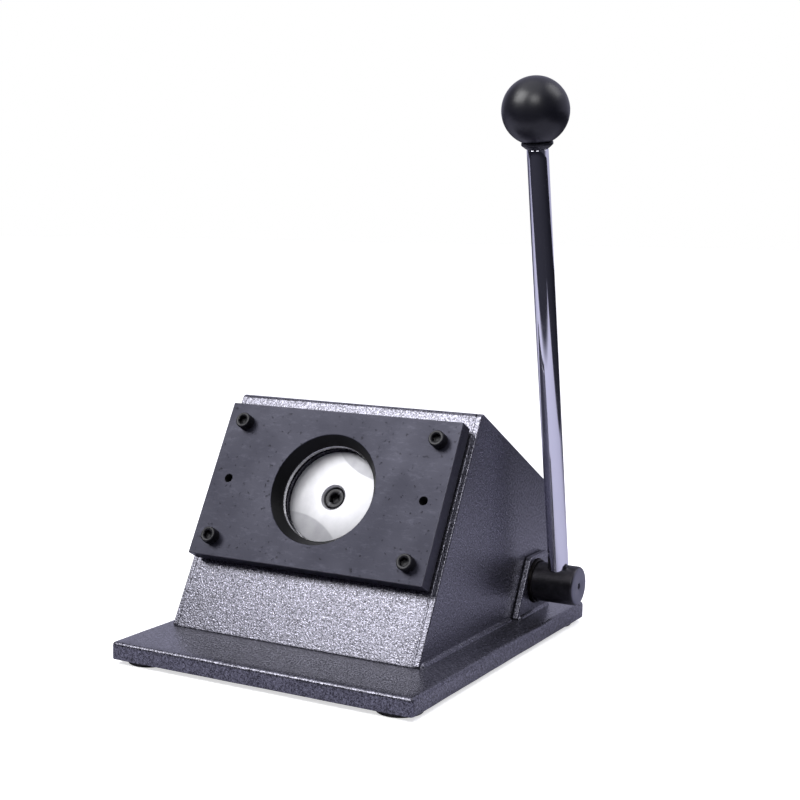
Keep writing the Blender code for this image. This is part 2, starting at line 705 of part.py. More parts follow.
def make_bearings(paint, steel, bronze, bearing_cutter):
    """The bracket welded outside the right side, the block inside the left side, and their bushes."""
    lean = math.cos(SLOPE) / math.sin(SLOPE)
    bracket_toe = SHAFT_Y - BRACKET_TOE
    bracket_rear = SHAFT_Y + BRACKET_REAR
    bracket_top = SHAFT_Z + BRACKET_TOP
    foot_z = BASE_TOP + GAP
    bracket_outline = rounded([
        (bracket_toe, foot_z),
        (bracket_toe + (bracket_top - foot_z) * lean, bracket_top),
        (bracket_rear, bracket_top),
        (bracket_rear, foot_z),
    ], [0, BRACKET_CORNER, BRACKET_CORNER, 0])
    inner_x = HOUSING_X + HOUSING_WIDTH / 2 + GAP
    bracket = add("bearing_bracket", prism(bracket_outline, 0, BRACKET_THICKNESS), paint,
                  (inner_x, 0, 0), ALONG_X)
    combine(bracket, bearing_cutter)

    block_outline = rounded([
        (SHAFT_Y - BLOCK_FRONT, foot_z),
        (SHAFT_Y - BLOCK_FRONT, SHAFT_Z + BLOCK_TOP),
        (SHAFT_Y + BLOCK_REAR, SHAFT_Z + BLOCK_TOP),
        (SHAFT_Y + BLOCK_REAR, foot_z),
    ], [0, BLOCK_CORNER, BLOCK_CORNER, 0])
    block_x = HOUSING_X - HOUSING_WIDTH / 2 + SHEET + GAP
    bearing_block = add("bearing_block", prism(block_outline, 0, BLOCK_THICKNESS), steel,
                        (block_x, 0, 0), ALONG_X)
    combine(bearing_block, bearing_cutter)

    wall_inner_x = HOUSING_X + HOUSING_WIDTH / 2 - SHEET
    bush_right_length = SHEET + GAP + BRACKET_THICKNESS + BUSH_STANDS_OUT
    for side, start_x, length in (("right", wall_inner_x, bush_right_length),
                                  ("left", block_x, BLOCK_THICKNESS)):
        add(f"bush_{side}", turned([
            (BUSH_INNER_RADIUS, 0),
            (BUSH_OUTER_RADIUS, 0),
            (BUSH_OUTER_RADIUS, length),
            (BUSH_INNER_RADIUS, length),
        ], 36, closed=True), bronze, (start_x, SHAFT_Y, SHAFT_Z), ALONG_X)
    return block_x, wall_inner_x


def add_set_screw(name, owner, finish, x, angle, inner, outer):
    """A radial set screw in a piece on the shaft, and the hole it sits in."""
    place = (x, SHAFT_Y, SHAFT_Z)
    rotation = (angle - math.pi / 2, 0, 0)
    hole = drill(SET_SCREW_RADIUS + GAP, inner - CUT_MARGIN, outer + CUT_MARGIN, 12)
    combine(owner, add_cutter(f"cut_{name}", hole, place, rotation))
    direction = Vector((0, math.cos(angle), math.sin(angle)))
    seat = Vector(place) + direction * (inner + GAP)
    add(name, set_screw(SET_SCREW_RADIUS, outer - inner - 2 * GAP, SET_SCREW_KEY), finish, seat, rotation)


def make_shaft(steel, black_oxide, lever_frame, block_x, wall_inner_x):
    """The drive shaft, its cross hole for the lever, and the collars that keep it in place."""
    start = block_x + GAP - HOUSING_X
    end = SHAFT_END - HOUSING_X
    edge = SHAFT_CHAMFER
    shaft = add("drive_shaft", turned([
        (0, start),
        (SHAFT_RADIUS - edge, start),
        (SHAFT_RADIUS, start + edge),
        (SHAFT_RADIUS, end - edge),
        (SHAFT_RADIUS - edge * 0.3, end - edge * 0.3),
        (SHAFT_RADIUS - edge, end),
        (SHAFT_DIMPLE, end),
        (0, end - SHAFT_DIMPLE),
    ], 36), steel, (HOUSING_X, SHAFT_Y, SHAFT_Z), ALONG_X)
    lever_hole = drill(ROD_RADIUS + GAP, -ROD_BELOW_AXIS - GAP, 2 * SHAFT_RADIUS, 24)
    combine(shaft, add_cutter("cut_lever_hole", lever_hole, parent=lever_frame))

    collars = (
        ("left", block_x + BLOCK_THICKNESS + GAP),
        ("right", wall_inner_x - GAP - COLLAR_THICKNESS),
    )
    for side, start_x in collars:
        collar = add(f"shaft_collar_{side}", turned([
            (SHAFT_RADIUS + GAP, 0),
            (COLLAR_RADIUS, 0),
            (COLLAR_RADIUS, COLLAR_THICKNESS),
            (SHAFT_RADIUS + GAP, COLLAR_THICKNESS),
        ], 28, closed=True), steel, (start_x, SHAFT_Y, SHAFT_Z), ALONG_X)
        middle = start_x + COLLAR_THICKNESS / 2
        add_set_screw(f"collar_screw_{side}", collar, black_oxide, middle, math.pi / 2,
                      SHAFT_RADIUS + GAP, COLLAR_RADIUS)
    return shaft


def roller_centre(turn):
    """Where the roller's centre is, seen from the turning cam, after the lever has turned that far."""
    shaft_up = shaft_in_slope_frame()[0]
    out = ROLLER_REST + PUNCH_STROKE * turn / LEVER_SWING
    y = -shaft_up * math.cos(SLOPE) - out * math.sin(SLOPE)
    z = -shaft_up * math.sin(SLOPE) + out * math.cos(SLOPE)
    back = Vector((math.cos(turn), math.sin(turn)))
    return Vector((y * back.x + z * back.y, -y * back.y + z * back.x))


def cam_outline():
    """The cam's outline as (y, z) from the shaft axis.

    Its working flank keeps a running gap to the roller while the punch's travel stays in
    proportion to the lever's turn. A rest pocket stops the lever at its upright position.
    """
    reach = ROLLER_RADIUS + RUNNING_GAP
    flank = []
    steps = 13
    for step in range(steps, -1, -1):
        turn = LEVER_SWING * step / steps
        centre = roller_centre(turn)
        along = (roller_centre(turn + CAM_TURN_STEP) - roller_centre(turn - CAM_TURN_STEP)).normalized()
        inward = Vector((along.y, -along.x))
        if inward.dot(centre) > 0:
            inward.negate()
        flank.append(centre + inward * reach)

    rest = roller_centre(0)
    rest_angle = math.atan2(rest.y, rest.x)
    pocket = []
    for degrees in POCKET_DEGREES:
        angle = rest_angle + math.pi - math.radians(degrees)
        pocket.append(rest + Vector(polar(reach, angle)))

    nose = flank[0]
    nose_angle = math.atan2(nose.y, nose.x)
    tip = pocket[-1]
    tip_angle = math.atan2(tip.y, tip.x) % FULL_TURN
    heel_angle = tip_angle + math.radians(22)
    lift_angle = nose_angle - math.radians(55) + FULL_TURN
    outline = []
    round_steps = 14
    for step in range(round_steps + 1):
        angle = heel_angle + (lift_angle - heel_angle) * step / round_steps
        outline.append(polar(CAM_BASE_RADIUS, angle))
    outline.append(polar(nose.length * 0.94, nose_angle - math.radians(26)))
    outline.append(polar(nose.length, nose_angle - math.radians(12)))
    outline.extend(tuple(point) for point in flank)
    outline.extend(tuple(point) for point in pocket)
    outline.append(polar(tip.length * 0.97, tip_angle + math.radians(8)))
    return outline


def make_cam(ground_steel, steel, black_oxide, shaft):
    """The cam that pushes the ram, with a boss, a key to the shaft and a set screw."""
    place = (HOUSING_X, SHAFT_Y, SHAFT_Z)
    half = CAM_WIDTH / 2
    cam = add("cam", prism(cam_outline(), -half, half), ground_steel, place, ALONG_X)
    boss = drill(CAM_BOSS_RADIUS, half - CUT_MARGIN, half + CAM_BOSS_LENGTH, 32)
    combine(cam, add_cutter("join_boss", boss, place, ALONG_X), "UNION")
    bore = drill(SHAFT_RADIUS + GAP, -half - CUT_MARGIN, half + CAM_BOSS_LENGTH + CUT_MARGIN, 36)
    combine(cam, add_cutter("cut_cam_bore", bore, place, ALONG_X))

    key_middle = SHAFT_RADIUS + GAP / 2
    half_key = KEY_SIZE / 2
    key_end = half + CAM_BOSS_LENGTH
    key_cutter = add_cutter("cut_keyway", block(
        (-half - CUT_MARGIN, -half_key - GAP, -key_middle - half_key - GAP),
        (key_end + CUT_MARGIN, half_key + GAP, -key_middle + half_key + GAP),
    ), place)
    combine(cam, key_cutter)
    combine(shaft, key_cutter)
    add("cam_key", block(
        (-half, -half_key, -key_middle - half_key),
        (key_end, half_key, -key_middle + half_key),
    ), steel, place)
    screw_x = HOUSING_X + half + CAM_BOSS_LENGTH / 2
    add_set_screw("cam_screw", cam, black_oxide, screw_x, math.pi / 2, SHAFT_RADIUS + GAP, CAM_BOSS_RADIUS)


# ---------------------------------------------------------------- lever

def make_lever(chrome, black_plastic, lever_frame):
    """The chromed rod that stands in the shaft's cross hole, with a collar and a ball knob."""
    collar_top = LEVER_LENGTH - math.sqrt(KNOB_RADIUS ** 2 - KNOB_COLLAR_RADIUS ** 2)
    collar_low = collar_top - KNOB_COLLAR_HEIGHT
    rod_top = collar_low - GAP
    rod_foot = -ROD_BELOW_AXIS
    stud_top = LEVER_LENGTH - KNOB_DEPTH
    add("lever_rod", turned([
        (0, rod_foot),
        (ROD_RADIUS - ROD_CHAMFER, rod_foot),
        (ROD_RADIUS, rod_foot + ROD_CHAMFER),
        (ROD_RADIUS, rod_top),
        (ROD_STUD_RADIUS, rod_top),
        (ROD_STUD_RADIUS, stud_top),
        (0, stud_top),
    ], 24), chrome, parent=lever_frame)
    bore = ROD_STUD_RADIUS + GAP
    add("knob_collar", turned([
        (bore, collar_low),
        (KNOB_COLLAR_FOOT_RADIUS, collar_low),
        (KNOB_COLLAR_RADIUS, collar_low + KNOB_COLLAR_HEIGHT * KNOB_COLLAR_TAPER_SHARE),
        (KNOB_COLLAR_RADIUS, collar_top - GAP),
        (bore, collar_top - GAP),
    ], 24, closed=True), black_plastic, parent=lever_frame)

    flat_angle = -math.acos(KNOB_COLLAR_RADIUS / KNOB_RADIUS)
    arc_steps = 13
    rings = [(0, stud_top + GAP), (bore, stud_top + GAP), (bore, collar_top)]
    for step in range(arc_steps):
        angle = flat_angle + (math.pi / 2 - flat_angle) * step / arc_steps
        radius, height = polar(KNOB_RADIUS, angle)
        rings.append((radius, LEVER_LENGTH + height))
    rings.append((0, LEVER_LENGTH + KNOB_RADIUS))
    add("ball_knob", turned(rings, 28), black_plastic, parent=lever_frame)


# ---------------------------------------------------------------- assembly

def clear_scene():
    """Remove whatever the scene holds."""
    for item in list(bpy.data.objects):
        bpy.data.objects.remove(item, do_unlink=True)


def build():
    """Make every piece of the machine."""
    clear_scene()
    paint = material("hammertone_paint", (0.42, 0.42, 0.46), 0.42, 0.55)
    black_oxide = material("black_oxide", (0.035, 0.035, 0.04), 0.42, 0.6)
    ground_steel = material("ground_steel", (0.72, 0.72, 0.72), 0.18, 1.0)
    steel = material("plain_steel", (0.40, 0.40, 0.42), 0.35, 1.0)
    dark_steel = material("dark_steel", (0.09, 0.085, 0.08), 0.38, 0.9)
    chrome = material("chrome", (0.80, 0.80, 0.83), 0.06, 1.0)
    black_plastic = material("black_plastic", (0.02, 0.02, 0.022), 0.30, 0.0)
    rubber = material("black_rubber", (0.015, 0.015, 0.015), 0.80, 0.0)
    bronze = material("bronze", (0.55, 0.36, 0.16), 0.35, 1.0)
    spring_steel = material("spring_steel", (0.30, 0.30, 0.32), 0.30, 1.0)

    slope_frame = add_empty("slope_frame", (HOUSING_X, *slope_point(PUNCH_UP_SLOPE, 0)), (SLOPE, 0, 0))
    lever_frame = add_empty("lever_frame", (LEVER_X, SHAFT_Y, SHAFT_Z), (LEVER_LEAN, 0, 0))
    screw_cutters = make_screw_cutters(slope_frame)
    bearing_hole = drill(BEARING_HOLE_RADIUS, -0.1100, 0.1200, 36)
    bearing_cutter = add_cutter("cut_bearing", bearing_hole, (0, SHAFT_Y, SHAFT_Z), ALONG_X)

    make_base(paint, rubber)
    make_side_plates(paint, bearing_cutter)
    make_housing_sheet(paint, slope_frame, screw_cutters)
    make_rear_cover(paint, steel, black_oxide)
    make_die_plate(black_oxide, steel, slope_frame, screw_cutters)
    cover_rear = make_guide(steel, black_oxide, slope_frame, screw_cutters)
    punch_rear = make_punch(ground_steel, black_oxide, slope_frame)
    pin_out, flange_front = make_ram(steel, slope_frame, punch_rear)
    make_roller(ground_steel, steel, slope_frame, pin_out)
    make_return_spring(spring_steel, slope_frame, cover_rear, flange_front)
    block_x, wall_inner_x = make_bearings(paint, steel, bronze, bearing_cutter)
    shaft = make_shaft(dark_steel, black_oxide, lever_frame, block_x, wall_inner_x)
    make_cam(ground_steel, steel, black_oxide, shaft)
    make_lever(chrome, black_plastic, lever_frame)


build()
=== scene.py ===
"""The looks of a desktop round punch for badge making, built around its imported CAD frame.

Metres, +Z up. The lever is on the +X side and the die plate faces -Y. Every visible piece is
rebuilt here with fine geometry; hidden CAD pieces keep their meshes and get worked materials.
"""

import json
import math

import bmesh
import bpy
from mathutils import Matrix, Vector, noise

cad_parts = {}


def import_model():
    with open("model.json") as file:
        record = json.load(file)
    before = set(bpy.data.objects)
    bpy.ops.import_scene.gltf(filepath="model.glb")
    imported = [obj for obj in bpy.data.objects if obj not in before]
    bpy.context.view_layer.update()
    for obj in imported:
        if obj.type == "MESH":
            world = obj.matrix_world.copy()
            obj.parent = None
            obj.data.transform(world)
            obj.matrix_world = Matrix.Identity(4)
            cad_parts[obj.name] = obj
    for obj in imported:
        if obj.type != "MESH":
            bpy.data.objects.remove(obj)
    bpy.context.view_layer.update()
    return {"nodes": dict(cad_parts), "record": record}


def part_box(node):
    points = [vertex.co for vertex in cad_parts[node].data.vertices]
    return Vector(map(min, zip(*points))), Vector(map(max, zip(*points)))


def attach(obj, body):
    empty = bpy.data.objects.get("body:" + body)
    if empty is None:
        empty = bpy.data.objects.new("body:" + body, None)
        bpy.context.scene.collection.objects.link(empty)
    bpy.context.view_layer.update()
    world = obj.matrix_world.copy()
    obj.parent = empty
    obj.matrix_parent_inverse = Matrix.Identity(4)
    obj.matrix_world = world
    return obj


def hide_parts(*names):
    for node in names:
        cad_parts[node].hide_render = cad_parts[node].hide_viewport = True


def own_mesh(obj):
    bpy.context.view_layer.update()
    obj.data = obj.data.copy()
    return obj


MM = 0.001
FULL_TURN = 2 * math.pi
SMOOTH_ANGLE = 38
EDGE_ANGLE = 40
TUBE_ANGLE = 60
CUT_MARGIN = 1.0 * MM

# ---- camera ----
CAMERA_PLACE = (0.4326, -0.7664, 0.2542)
CAMERA_AZIMUTH = math.radians(28.593)
CAMERA_ELEVATION = math.radians(6.610)
CAMERA_ROLL = math.radians(1.060)
CAMERA_LENS = 65.5

# ---- studio ----
CARD_GLOW = 0.64
CARD_FRONT = -0.32
CARD_RIGHT = 0.61
CARD_REAR = (0.28, 0.85)
CARD_TONE = (0.50, 0.495, 0.60)
CARD_FADE = 0.03
FLOOR_RADIUS = 30.0
FLOOR_BELOW = 0.05 * MM
LIGHTS_AIM = (0, 0, 0.12)

# ---- finishes ----
EDGE_WEAR = "edge_wear"
WAVER = ((45, 0.34 * MM), (260, 0.07 * MM))
WAVER_INSET = 0.30 * MM
WHEEL_CENTRES = ((0.0308, 0.0595), (-0.0252, -0.0578))
WHEEL_RADIUS = 0.046

# ---- driving dimensions, as in the CAD ----
GAP = 0.3 * MM
RUNNING_GAP = 0.35 * MM
SHEET = 4.0 * MM
SLOPE = math.radians(61.1)
BASE_EDGE_RADIUS = 2.2 * MM
PLATE_EDGE_RADIUS = 0.8 * MM
TOE_FROM_FRONT = 48.5 * MM
HOUSING_HEIGHT = 135.5 * MM
HOUSING_CORNER = 3.0 * MM
FACE_HOLE_RADIUS = 30.5 * MM
BRACKET_CORNER = 5.0 * MM
PUNCH_UP_SLOPE = 93.0 * MM
SCREW_SPACING = (135.2 * MM, 75.4 * MM)
SCREW_SHIFT = (1.1 * MM, -0.8 * MM)
SCREW_HOLE_RADIUS = 3.3 * MM
SPACER_RADIUS = 7.0 * MM
DIE_SIZE = (161.6 * MM, 100.0 * MM)
DIE_REAR = 2.5 * MM
DIE_FRONT = 12.5 * MM
DIE_LAND_RADIUS = 30.25 * MM
DIE_LAND_LENGTH = 2.4 * MM
DIE_RELIEF_START = 30.8 * MM
DIE_RELIEF_END = 35.1 * MM
GUIDE_HOLE_OFFSET = 68.0 * MM
GUIDE_HOLE_RADIUS = 1.7 * MM
GUIDE_HOLE_MOUTH = 2.85 * MM
GUIDE_HOLE_DEPTH = 8.0 * MM
PUNCH_RADIUS = 29.8 * MM
PUNCH_FACE = -2.0 * MM
PUNCH_LENGTH = 18.0 * MM
PUNCH_HOLE_RADIUS = 4.4 * MM
COUNTERBORE_RADIUS = 7.1 * MM
COUNTERBORE_MOUTH = 8.2 * MM
COUNTERBORE_DEPTH = 9.6 * MM
GUIDE_THICKNESS = 18.0 * MM
GUIDE_COVER_THICKNESS = 6.0 * MM
ROLLER_REST = 26.0 * MM
YOKE_AHEAD_OF_PIN = 17.7 * MM
FLANGE_THICKNESS = 4.0 * MM
SPRING_RADIUS = 13.0 * MM
SPRING_WIRE_RADIUS = 1.3 * MM
SPRING_TURNS = 7
SHAFT_RADIUS = 12.45 * MM
SHAFT_FROM_FRONT = 200.6 * MM
SHAFT_ABOVE_FOOT = 30.1 * MM
LEVER_FROM_BASE_MIDDLE = 97.8 * MM
LEVER_LEAN = math.radians(11.4)
LEVER_LENGTH = 297.9 * MM
ROD_RADIUS = 6.45 * MM
ROD_STUD_RADIUS = 4.7 * MM
ROD_BELOW_AXIS = 4.5 * MM
KNOB_RADIUS = 20.0 * MM
KNOB_COLLAR_RADIUS = 9.4 * MM
KNOB_COLLAR_FOOT = 7.2 * MM
KNOB_COLLAR_HEIGHT = 4.2 * MM
KNOB_COLLAR_TAPER_SHARE = 0.55
KNOB_DEPTH = 6.0 * MM


# ---------------------------------------------------------------- geometry helpers

def polar(radius, angle):
    """A point at a radius and an angle from the first axis."""
    return radius * math.cos(angle), radius * math.sin(angle)


def hexagon(across_flats):
    """The radius of a hexagon as a function of angle."""
    def radius(angle):
        from_flat = (angle + math.pi / 6) % (math.pi / 3) - math.pi / 6
        return across_flats / 2 / math.cos(from_flat)
    return radius


def knurl(radius, depth, teeth):
    """The radius of a straight-knurled rim as a function of angle."""
    def reach(angle):
        tooth = abs((angle * teeth / FULL_TURN) % 1 * 2 - 1)
        return radius - depth * tooth
    return reach


def arc(centre, radius, start, end, steps):
    """Points (radius, height) of an arc; the angles are in degrees from the first axis."""
    points = []
    for step in range(steps + 1):
        angle = math.radians(start + (end - start) * step / steps)
        across, along = polar(radius, angle)
        points.append((centre[0] + across, centre[1] + along))
    return points


def rounded(outline, radii, steps=8):
    """An outline whose corners are replaced by arcs; a radius of 0 leaves a corner sharp."""
    points = []
    count = len(outline)
    for index, radius in enumerate(radii):
        corner = Vector(outline[index])
        if radius == 0:
            points.append(tuple(corner))
            continue
        back = (Vector(outline[index - 1]) - corner).normalized()
        onward = (Vector(outline[(index + 1) % count]) - corner).normalized()
        half = back.angle(onward) / 2
        centre = corner + (back + onward).normalized() * radius / math.sin(half)
        reach = radius / math.tan(half)
        start = corner + back * reach - centre
        end = corner + onward * reach - centre
        for step in range(steps + 1):
            spoke = start.lerp(end, step / steps).normalized() * radius
            points.append(tuple(centre + spoke))
    return points


# ---------------------------------------------------------------- mesh helpers

def finish_mesh(shape, sharp_angle=SMOOTH_ANGLE):
    """Turn a bmesh into mesh data with its faces pointing out and its round faces smooth."""
    bmesh.ops.recalc_face_normals(shape, faces=shape.faces)
    data = bpy.data.meshes.new("shape")
    shape.to_mesh(data)
    shape.free()
    data.shade_smooth()
    data.set_sharp_from_angle(angle=math.radians(sharp_angle))
    return data


def soften(shape, width, segments=3):
    """Round the edges of a bmesh where its faces meet at a clear angle."""
    edges = [edge for edge in shape.edges if edge.calc_face_angle(0) > math.radians(EDGE_ANGLE)]
    bmesh.ops.bevel(shape, geom=edges, offset=width, segments=segments, profile=0.5,
                    affect="EDGES", clamp_overlap=True)


def turned(rings, segments, closed=False, sharp_angle=SMOOTH_ANGLE):
    """A shape turned about local Z from (radius, height) rings; closed joins the last to the first."""
    shape = bmesh.new()
    angles = [FULL_TURN * step / segments for step in range(segments)]
    loops = []
    for radius, height in rings:
        if radius == 0:
            loops.append([shape.verts.new((0, 0, height))] * segments)
            continue
        loop = []
        for angle in angles:
            reach = radius(angle) if callable(radius) else radius
            loop.append(shape.verts.new((*polar(reach, angle), height)))
        loops.append(loop)
    pairs = list(zip(loops, loops[1:]))
    if closed:
        pairs.append((loops[-1], loops[0]))
    for lower, upper in pairs:
        for step in range(segments):
            onward = (step + 1) % segments
            corners = [lower[step], lower[onward], upper[onward], upper[step]]
            shape.faces.new(list(dict.fromkeys(corners)))
    return finish_mesh(shape, sharp_angle)


def cylinder(radius, low, high, segments):
    """A round bar about local Z."""
    return turned([(0, low), (radius, low), (radius, high), (0, high)], segments)


def lofted(sections):
    """A closed shape through equal rings of points, with its two ends filled."""
    shape = bmesh.new()
    loops = [[shape.verts.new(point) for point in section] for section in sections]
    for loop, onward in zip(loops, loops[1:]):
        for index in range(len(loop)):
            after = (index + 1) % len(loop)
            shape.faces.new([loop[index], loop[after], onward[after], onward[index]])
    shape.faces.new(loops[0])
    shape.faces.new(list(reversed(loops[-1])))
    return finish_mesh(shape, TUBE_ANGLE)


def prism(outline, low, high, edge, segments):
    """An outline in the local XY plane, extruded from low to high along local Z, edges rounded."""
    shape = bmesh.new()
    face = shape.faces.new([shape.verts.new((x, y, low)) for x, y in outline])
    grown = bmesh.ops.extrude_face_region(shape, geom=[face])
    top = [part for part in grown["geom"] if isinstance(part, bmesh.types.BMVert)]
    bmesh.ops.translate(shape, verts=top, vec=(0, 0, high - low))
    soften(shape, edge, segments)
    return finish_mesh(shape)


def box_shape(low, high):
    """A bmesh box between two corners."""
    shape = bmesh.new()
    bmesh.ops.create_cube(shape, size=1)
    size = [top - bottom for bottom, top in zip(low, high)]
    middle = [(top + bottom) / 2 for bottom, top in zip(low, high)]
    bmesh.ops.scale(shape, vec=size, verts=shape.verts)
    bmesh.ops.translate(shape, vec=middle, verts=shape.verts)
    return shape


def block(low, high, edge):
    """A box between two corners with rounded edges."""
    shape = box_shape(low, high)
    soften(shape, edge)
    return finish_mesh(shape)


def place(name, data, materials, matrix=None):
    """A new object with its mesh, materials and place."""
    piece = bpy.data.objects.new(name, data)
    for finish in materials:
        data.materials.append(finish)
    if matrix is not None:
        piece.matrix_world = matrix
    bpy.context.collection.objects.link(piece)
    return piece


def cut(piece, cutters):
    """Cut shapes, given as (mesh, matrix), out of a piece, and let flat faces set its shading."""
    tools = []
    for data, matrix in cutters:
        tool = place("cutter", data, [], matrix)
        modifier = piece.modifiers.new("cut", "BOOLEAN")
        modifier.operation = "DIFFERENCE"
        modifier.solver = "EXACT"
        modifier.object = tool
        tools.append(tool)
    settle(piece)
    for tool in tools:
        bpy.data.objects.remove(tool, do_unlink=True)
    even_shading(piece)


def polygon_sides(data, polygon):
    """The lengths of a polygon's sides."""
    corners = [data.vertices[index].co for index in polygon.vertices]
    return [(corner - corners[index - 1]).length for index, corner in enumerate(corners)]


def even_shading(piece):
    """Make a piece's broad flat faces exactly flat, and let them set the shading of what joins them."""
    data = piece.data
    data.shade_smooth()
    smooth_angle = math.radians(SMOOTH_ANGLE)
    data.set_sharp_from_angle(angle=smooth_angle)
    normals = [Vector(corner.vector) for corner in data.corner_normals]
    broad_width = 1.5 * MM
    broad = set()
    facing = {}
    for polygon in data.polygons:
        if 2 * polygon.area / sum(polygon_sides(data, polygon)) > broad_width:
            broad.add(polygon.index)
            for index in polygon.vertices:
                facing.setdefault(index, []).append(polygon.normal.copy())
    for polygon in data.polygons:
        for loop, index in zip(polygon.loop_indices, polygon.vertices):
            if polygon.index in broad:
                normals[loop] = polygon.normal.copy()
                continue
            for normal in facing.get(index, []):
                if normal.angle(polygon.normal, 0) < smooth_angle:
                    normals[loop] = normal
    data.normals_split_custom_set(normals)


def mark_rubbed_edges(piece):
    """Mark the long narrow faces that round a piece's edges, where its finish is rubbed."""
    data = piece.data
    marks = data.attributes.new(EDGE_WEAR, "FLOAT", "FACE")
    narrow_width = 0.45 * MM
    long_side = 8.5 * MM
    for polygon in data.polygons:
        sides = polygon_sides(data, polygon)
        if 2 * polygon.area / sum(sides) < narrow_width and max(sides) > long_side:
            marks.data[polygon.index].value = 1.0


def settle(piece):
    """Apply a piece's modifiers to its mesh."""
    bpy.context.view_layer.update()
    graph = bpy.context.evaluated_depsgraph_get()
    data = bpy.data.meshes.new_from_object(piece.evaluated_get(graph))
    piece.modifiers.clear()
    piece.data = data


def mount(piece, body, slot, *nodes):
    """Ride a piece on its body and let it stand for CAD nodes, which are hidden; the slot argument is not
    used.
    """
    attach(piece, body)
    if nodes:
        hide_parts(*nodes)


# ---------------------------------------------------------------- material helpers

def connect(tree, target, inputs):
    """Set a node's inputs, by name or number, to values or to links from sockets."""
    for key, value in inputs.items():
        if isinstance(value, bpy.types.NodeSocket):
            tree.links.new(value, target.inputs[key])
        else:
            target.inputs[key].default_value = value


def node(tree, kind, inputs=None, **settings):
    """A shader node with its settings and inputs."""
    made = tree.nodes.new("ShaderNode" + kind)
    for key, value in settings.items():
        setattr(made, key, value)
    connect(tree, made, inputs or {})
    return made


def blank(name):
    """A new material with its tree, its Principled shader and object coordinates in metres."""
    made = bpy.data.materials.new(name)
    made.use_nodes = True
    tree = made.node_tree
    shader = tree.nodes["Principled BSDF"]
    coordinates = node(tree, "TexCoord").outputs["Object"]
    return made, tree, shader, coordinates


def grain(tree, coordinates, size, detail=2.0, roughness=0.5):
    """Noise from 0 to 1 with features of about a size in metres."""
    inputs = {"Vector": coordinates, "Scale": 1 / size, "Detail": detail, "Roughness": roughness}
    return node(tree, "TexNoise", inputs).outputs["Fac"]


def stretched(tree, coordinates, scale):
    """Coordinates scaled along each axis."""
    inputs = {"Vector": coordinates, "Scale": scale}
    return node(tree, "Mapping", inputs).outputs["Vector"]


def spread(tree, value, low, high, new_low=0, new_high=1):
    """A value mapped from one range to another, held at the new range's ends."""
    inputs = {"Value": value, "From Min": low, "From Max": high, "To Min": new_low, "To Max": new_high}
    return node(tree, "MapRange", inputs).outputs["Result"]


def math_node(tree, operation, first, second=0.0):
    """A Math node's result."""
    return node(tree, "Math", {0: first, 1: second}, operation=operation).outputs["Value"]


def weighed(tree, first, share, second):
    """A share of one value plus the rest of another."""
    return math_node(tree, "ADD", math_node(tree, "MULTIPLY", first, share),
                     math_node(tree, "MULTIPLY", second, 1 - share))


def blend(tree, factor, first, second):
    """A colour between two colours, each an (r, g, b) or a socket."""
    made = node(tree, "Mix", data_type="RGBA")
    tree.links.new(factor, made.inputs["Factor"])
    for name, value in (("A", first), ("B", second)):
        socket = [item for item in made.inputs if item.name == name and item.type == "RGBA"][0]
        if isinstance(value, bpy.types.NodeSocket):
            tree.links.new(value, socket)
        else:
            socket.default_value = (*value, 1)
    return [item for item in made.outputs if item.type == "RGBA"][0]


def bump(tree, shader, layers):
    """Bumps on the shader from (height socket, distance in metres, strength) layers."""
    normal = None
    for height, distance, strength in layers:
        inputs = {"Height": height, "Distance": distance, "Strength": strength}
        if normal:
            inputs["Normal"] = normal
        normal = node(tree, "Bump", inputs).outputs["Normal"]
    tree.links.new(normal, shader.inputs["Normal"])
    return normal


# ---------------------------------------------------------------- materials

def hammertone():
    """Silver-grey hammered enamel: metal flake in small raised cells under a glossy skin."""
    made, tree, shader, coordinates = blank("hammertone_enamel")
    warp = node(tree, "TexNoise", {"Vector": coordinates, "Scale": 900.0, "Detail": 1.0}).outputs["Color"]
    shifted = node(tree, "VectorMath", {0: warp, 1: (0.6 * MM, 0.6 * MM, 0.6 * MM), 2: coordinates},
                   operation="MULTIPLY_ADD")
    cells = node(tree, "TexVoronoi", {"Vector": shifted.outputs[0], "Scale": 1100.0,
                                      "Smoothness": 0.5}, feature="SMOOTH_F1")
    height = cells.outputs["Distance"]
    fine = grain(tree, coordinates, 0.62 * MM, 3.0, 0.6)
    coarse = grain(tree, coordinates, 1.25 * MM, 2.0, 0.6)
    fleck = weighed(tree, fine, 0.55, coarse)
    cloud = grain(tree, coordinates, 28 * MM)
    dark = blend(tree, spread(tree, cloud, 0.3, 0.7), (0.017, 0.016, 0.025), (0.025, 0.024, 0.036))
    connect(tree, shader, {
        "Base Color": blend(tree, spread(tree, fleck, 0.42, 0.66), dark, (0.285, 0.281, 0.342)),
        "Roughness": spread(tree, fleck, 0.3, 0.7, 0.31, 0.25),
        "Metallic": 0.75,
        "Coat Weight": 0.38,
        "Coat Roughness": 0.16,
    })
    skin = bump(tree, shader, [(height, 0.30 * MM, 0.30), (fleck, 0.12 * MM, 0.38)])
    connect(tree, shader, {"Coat Normal": skin})
    return made


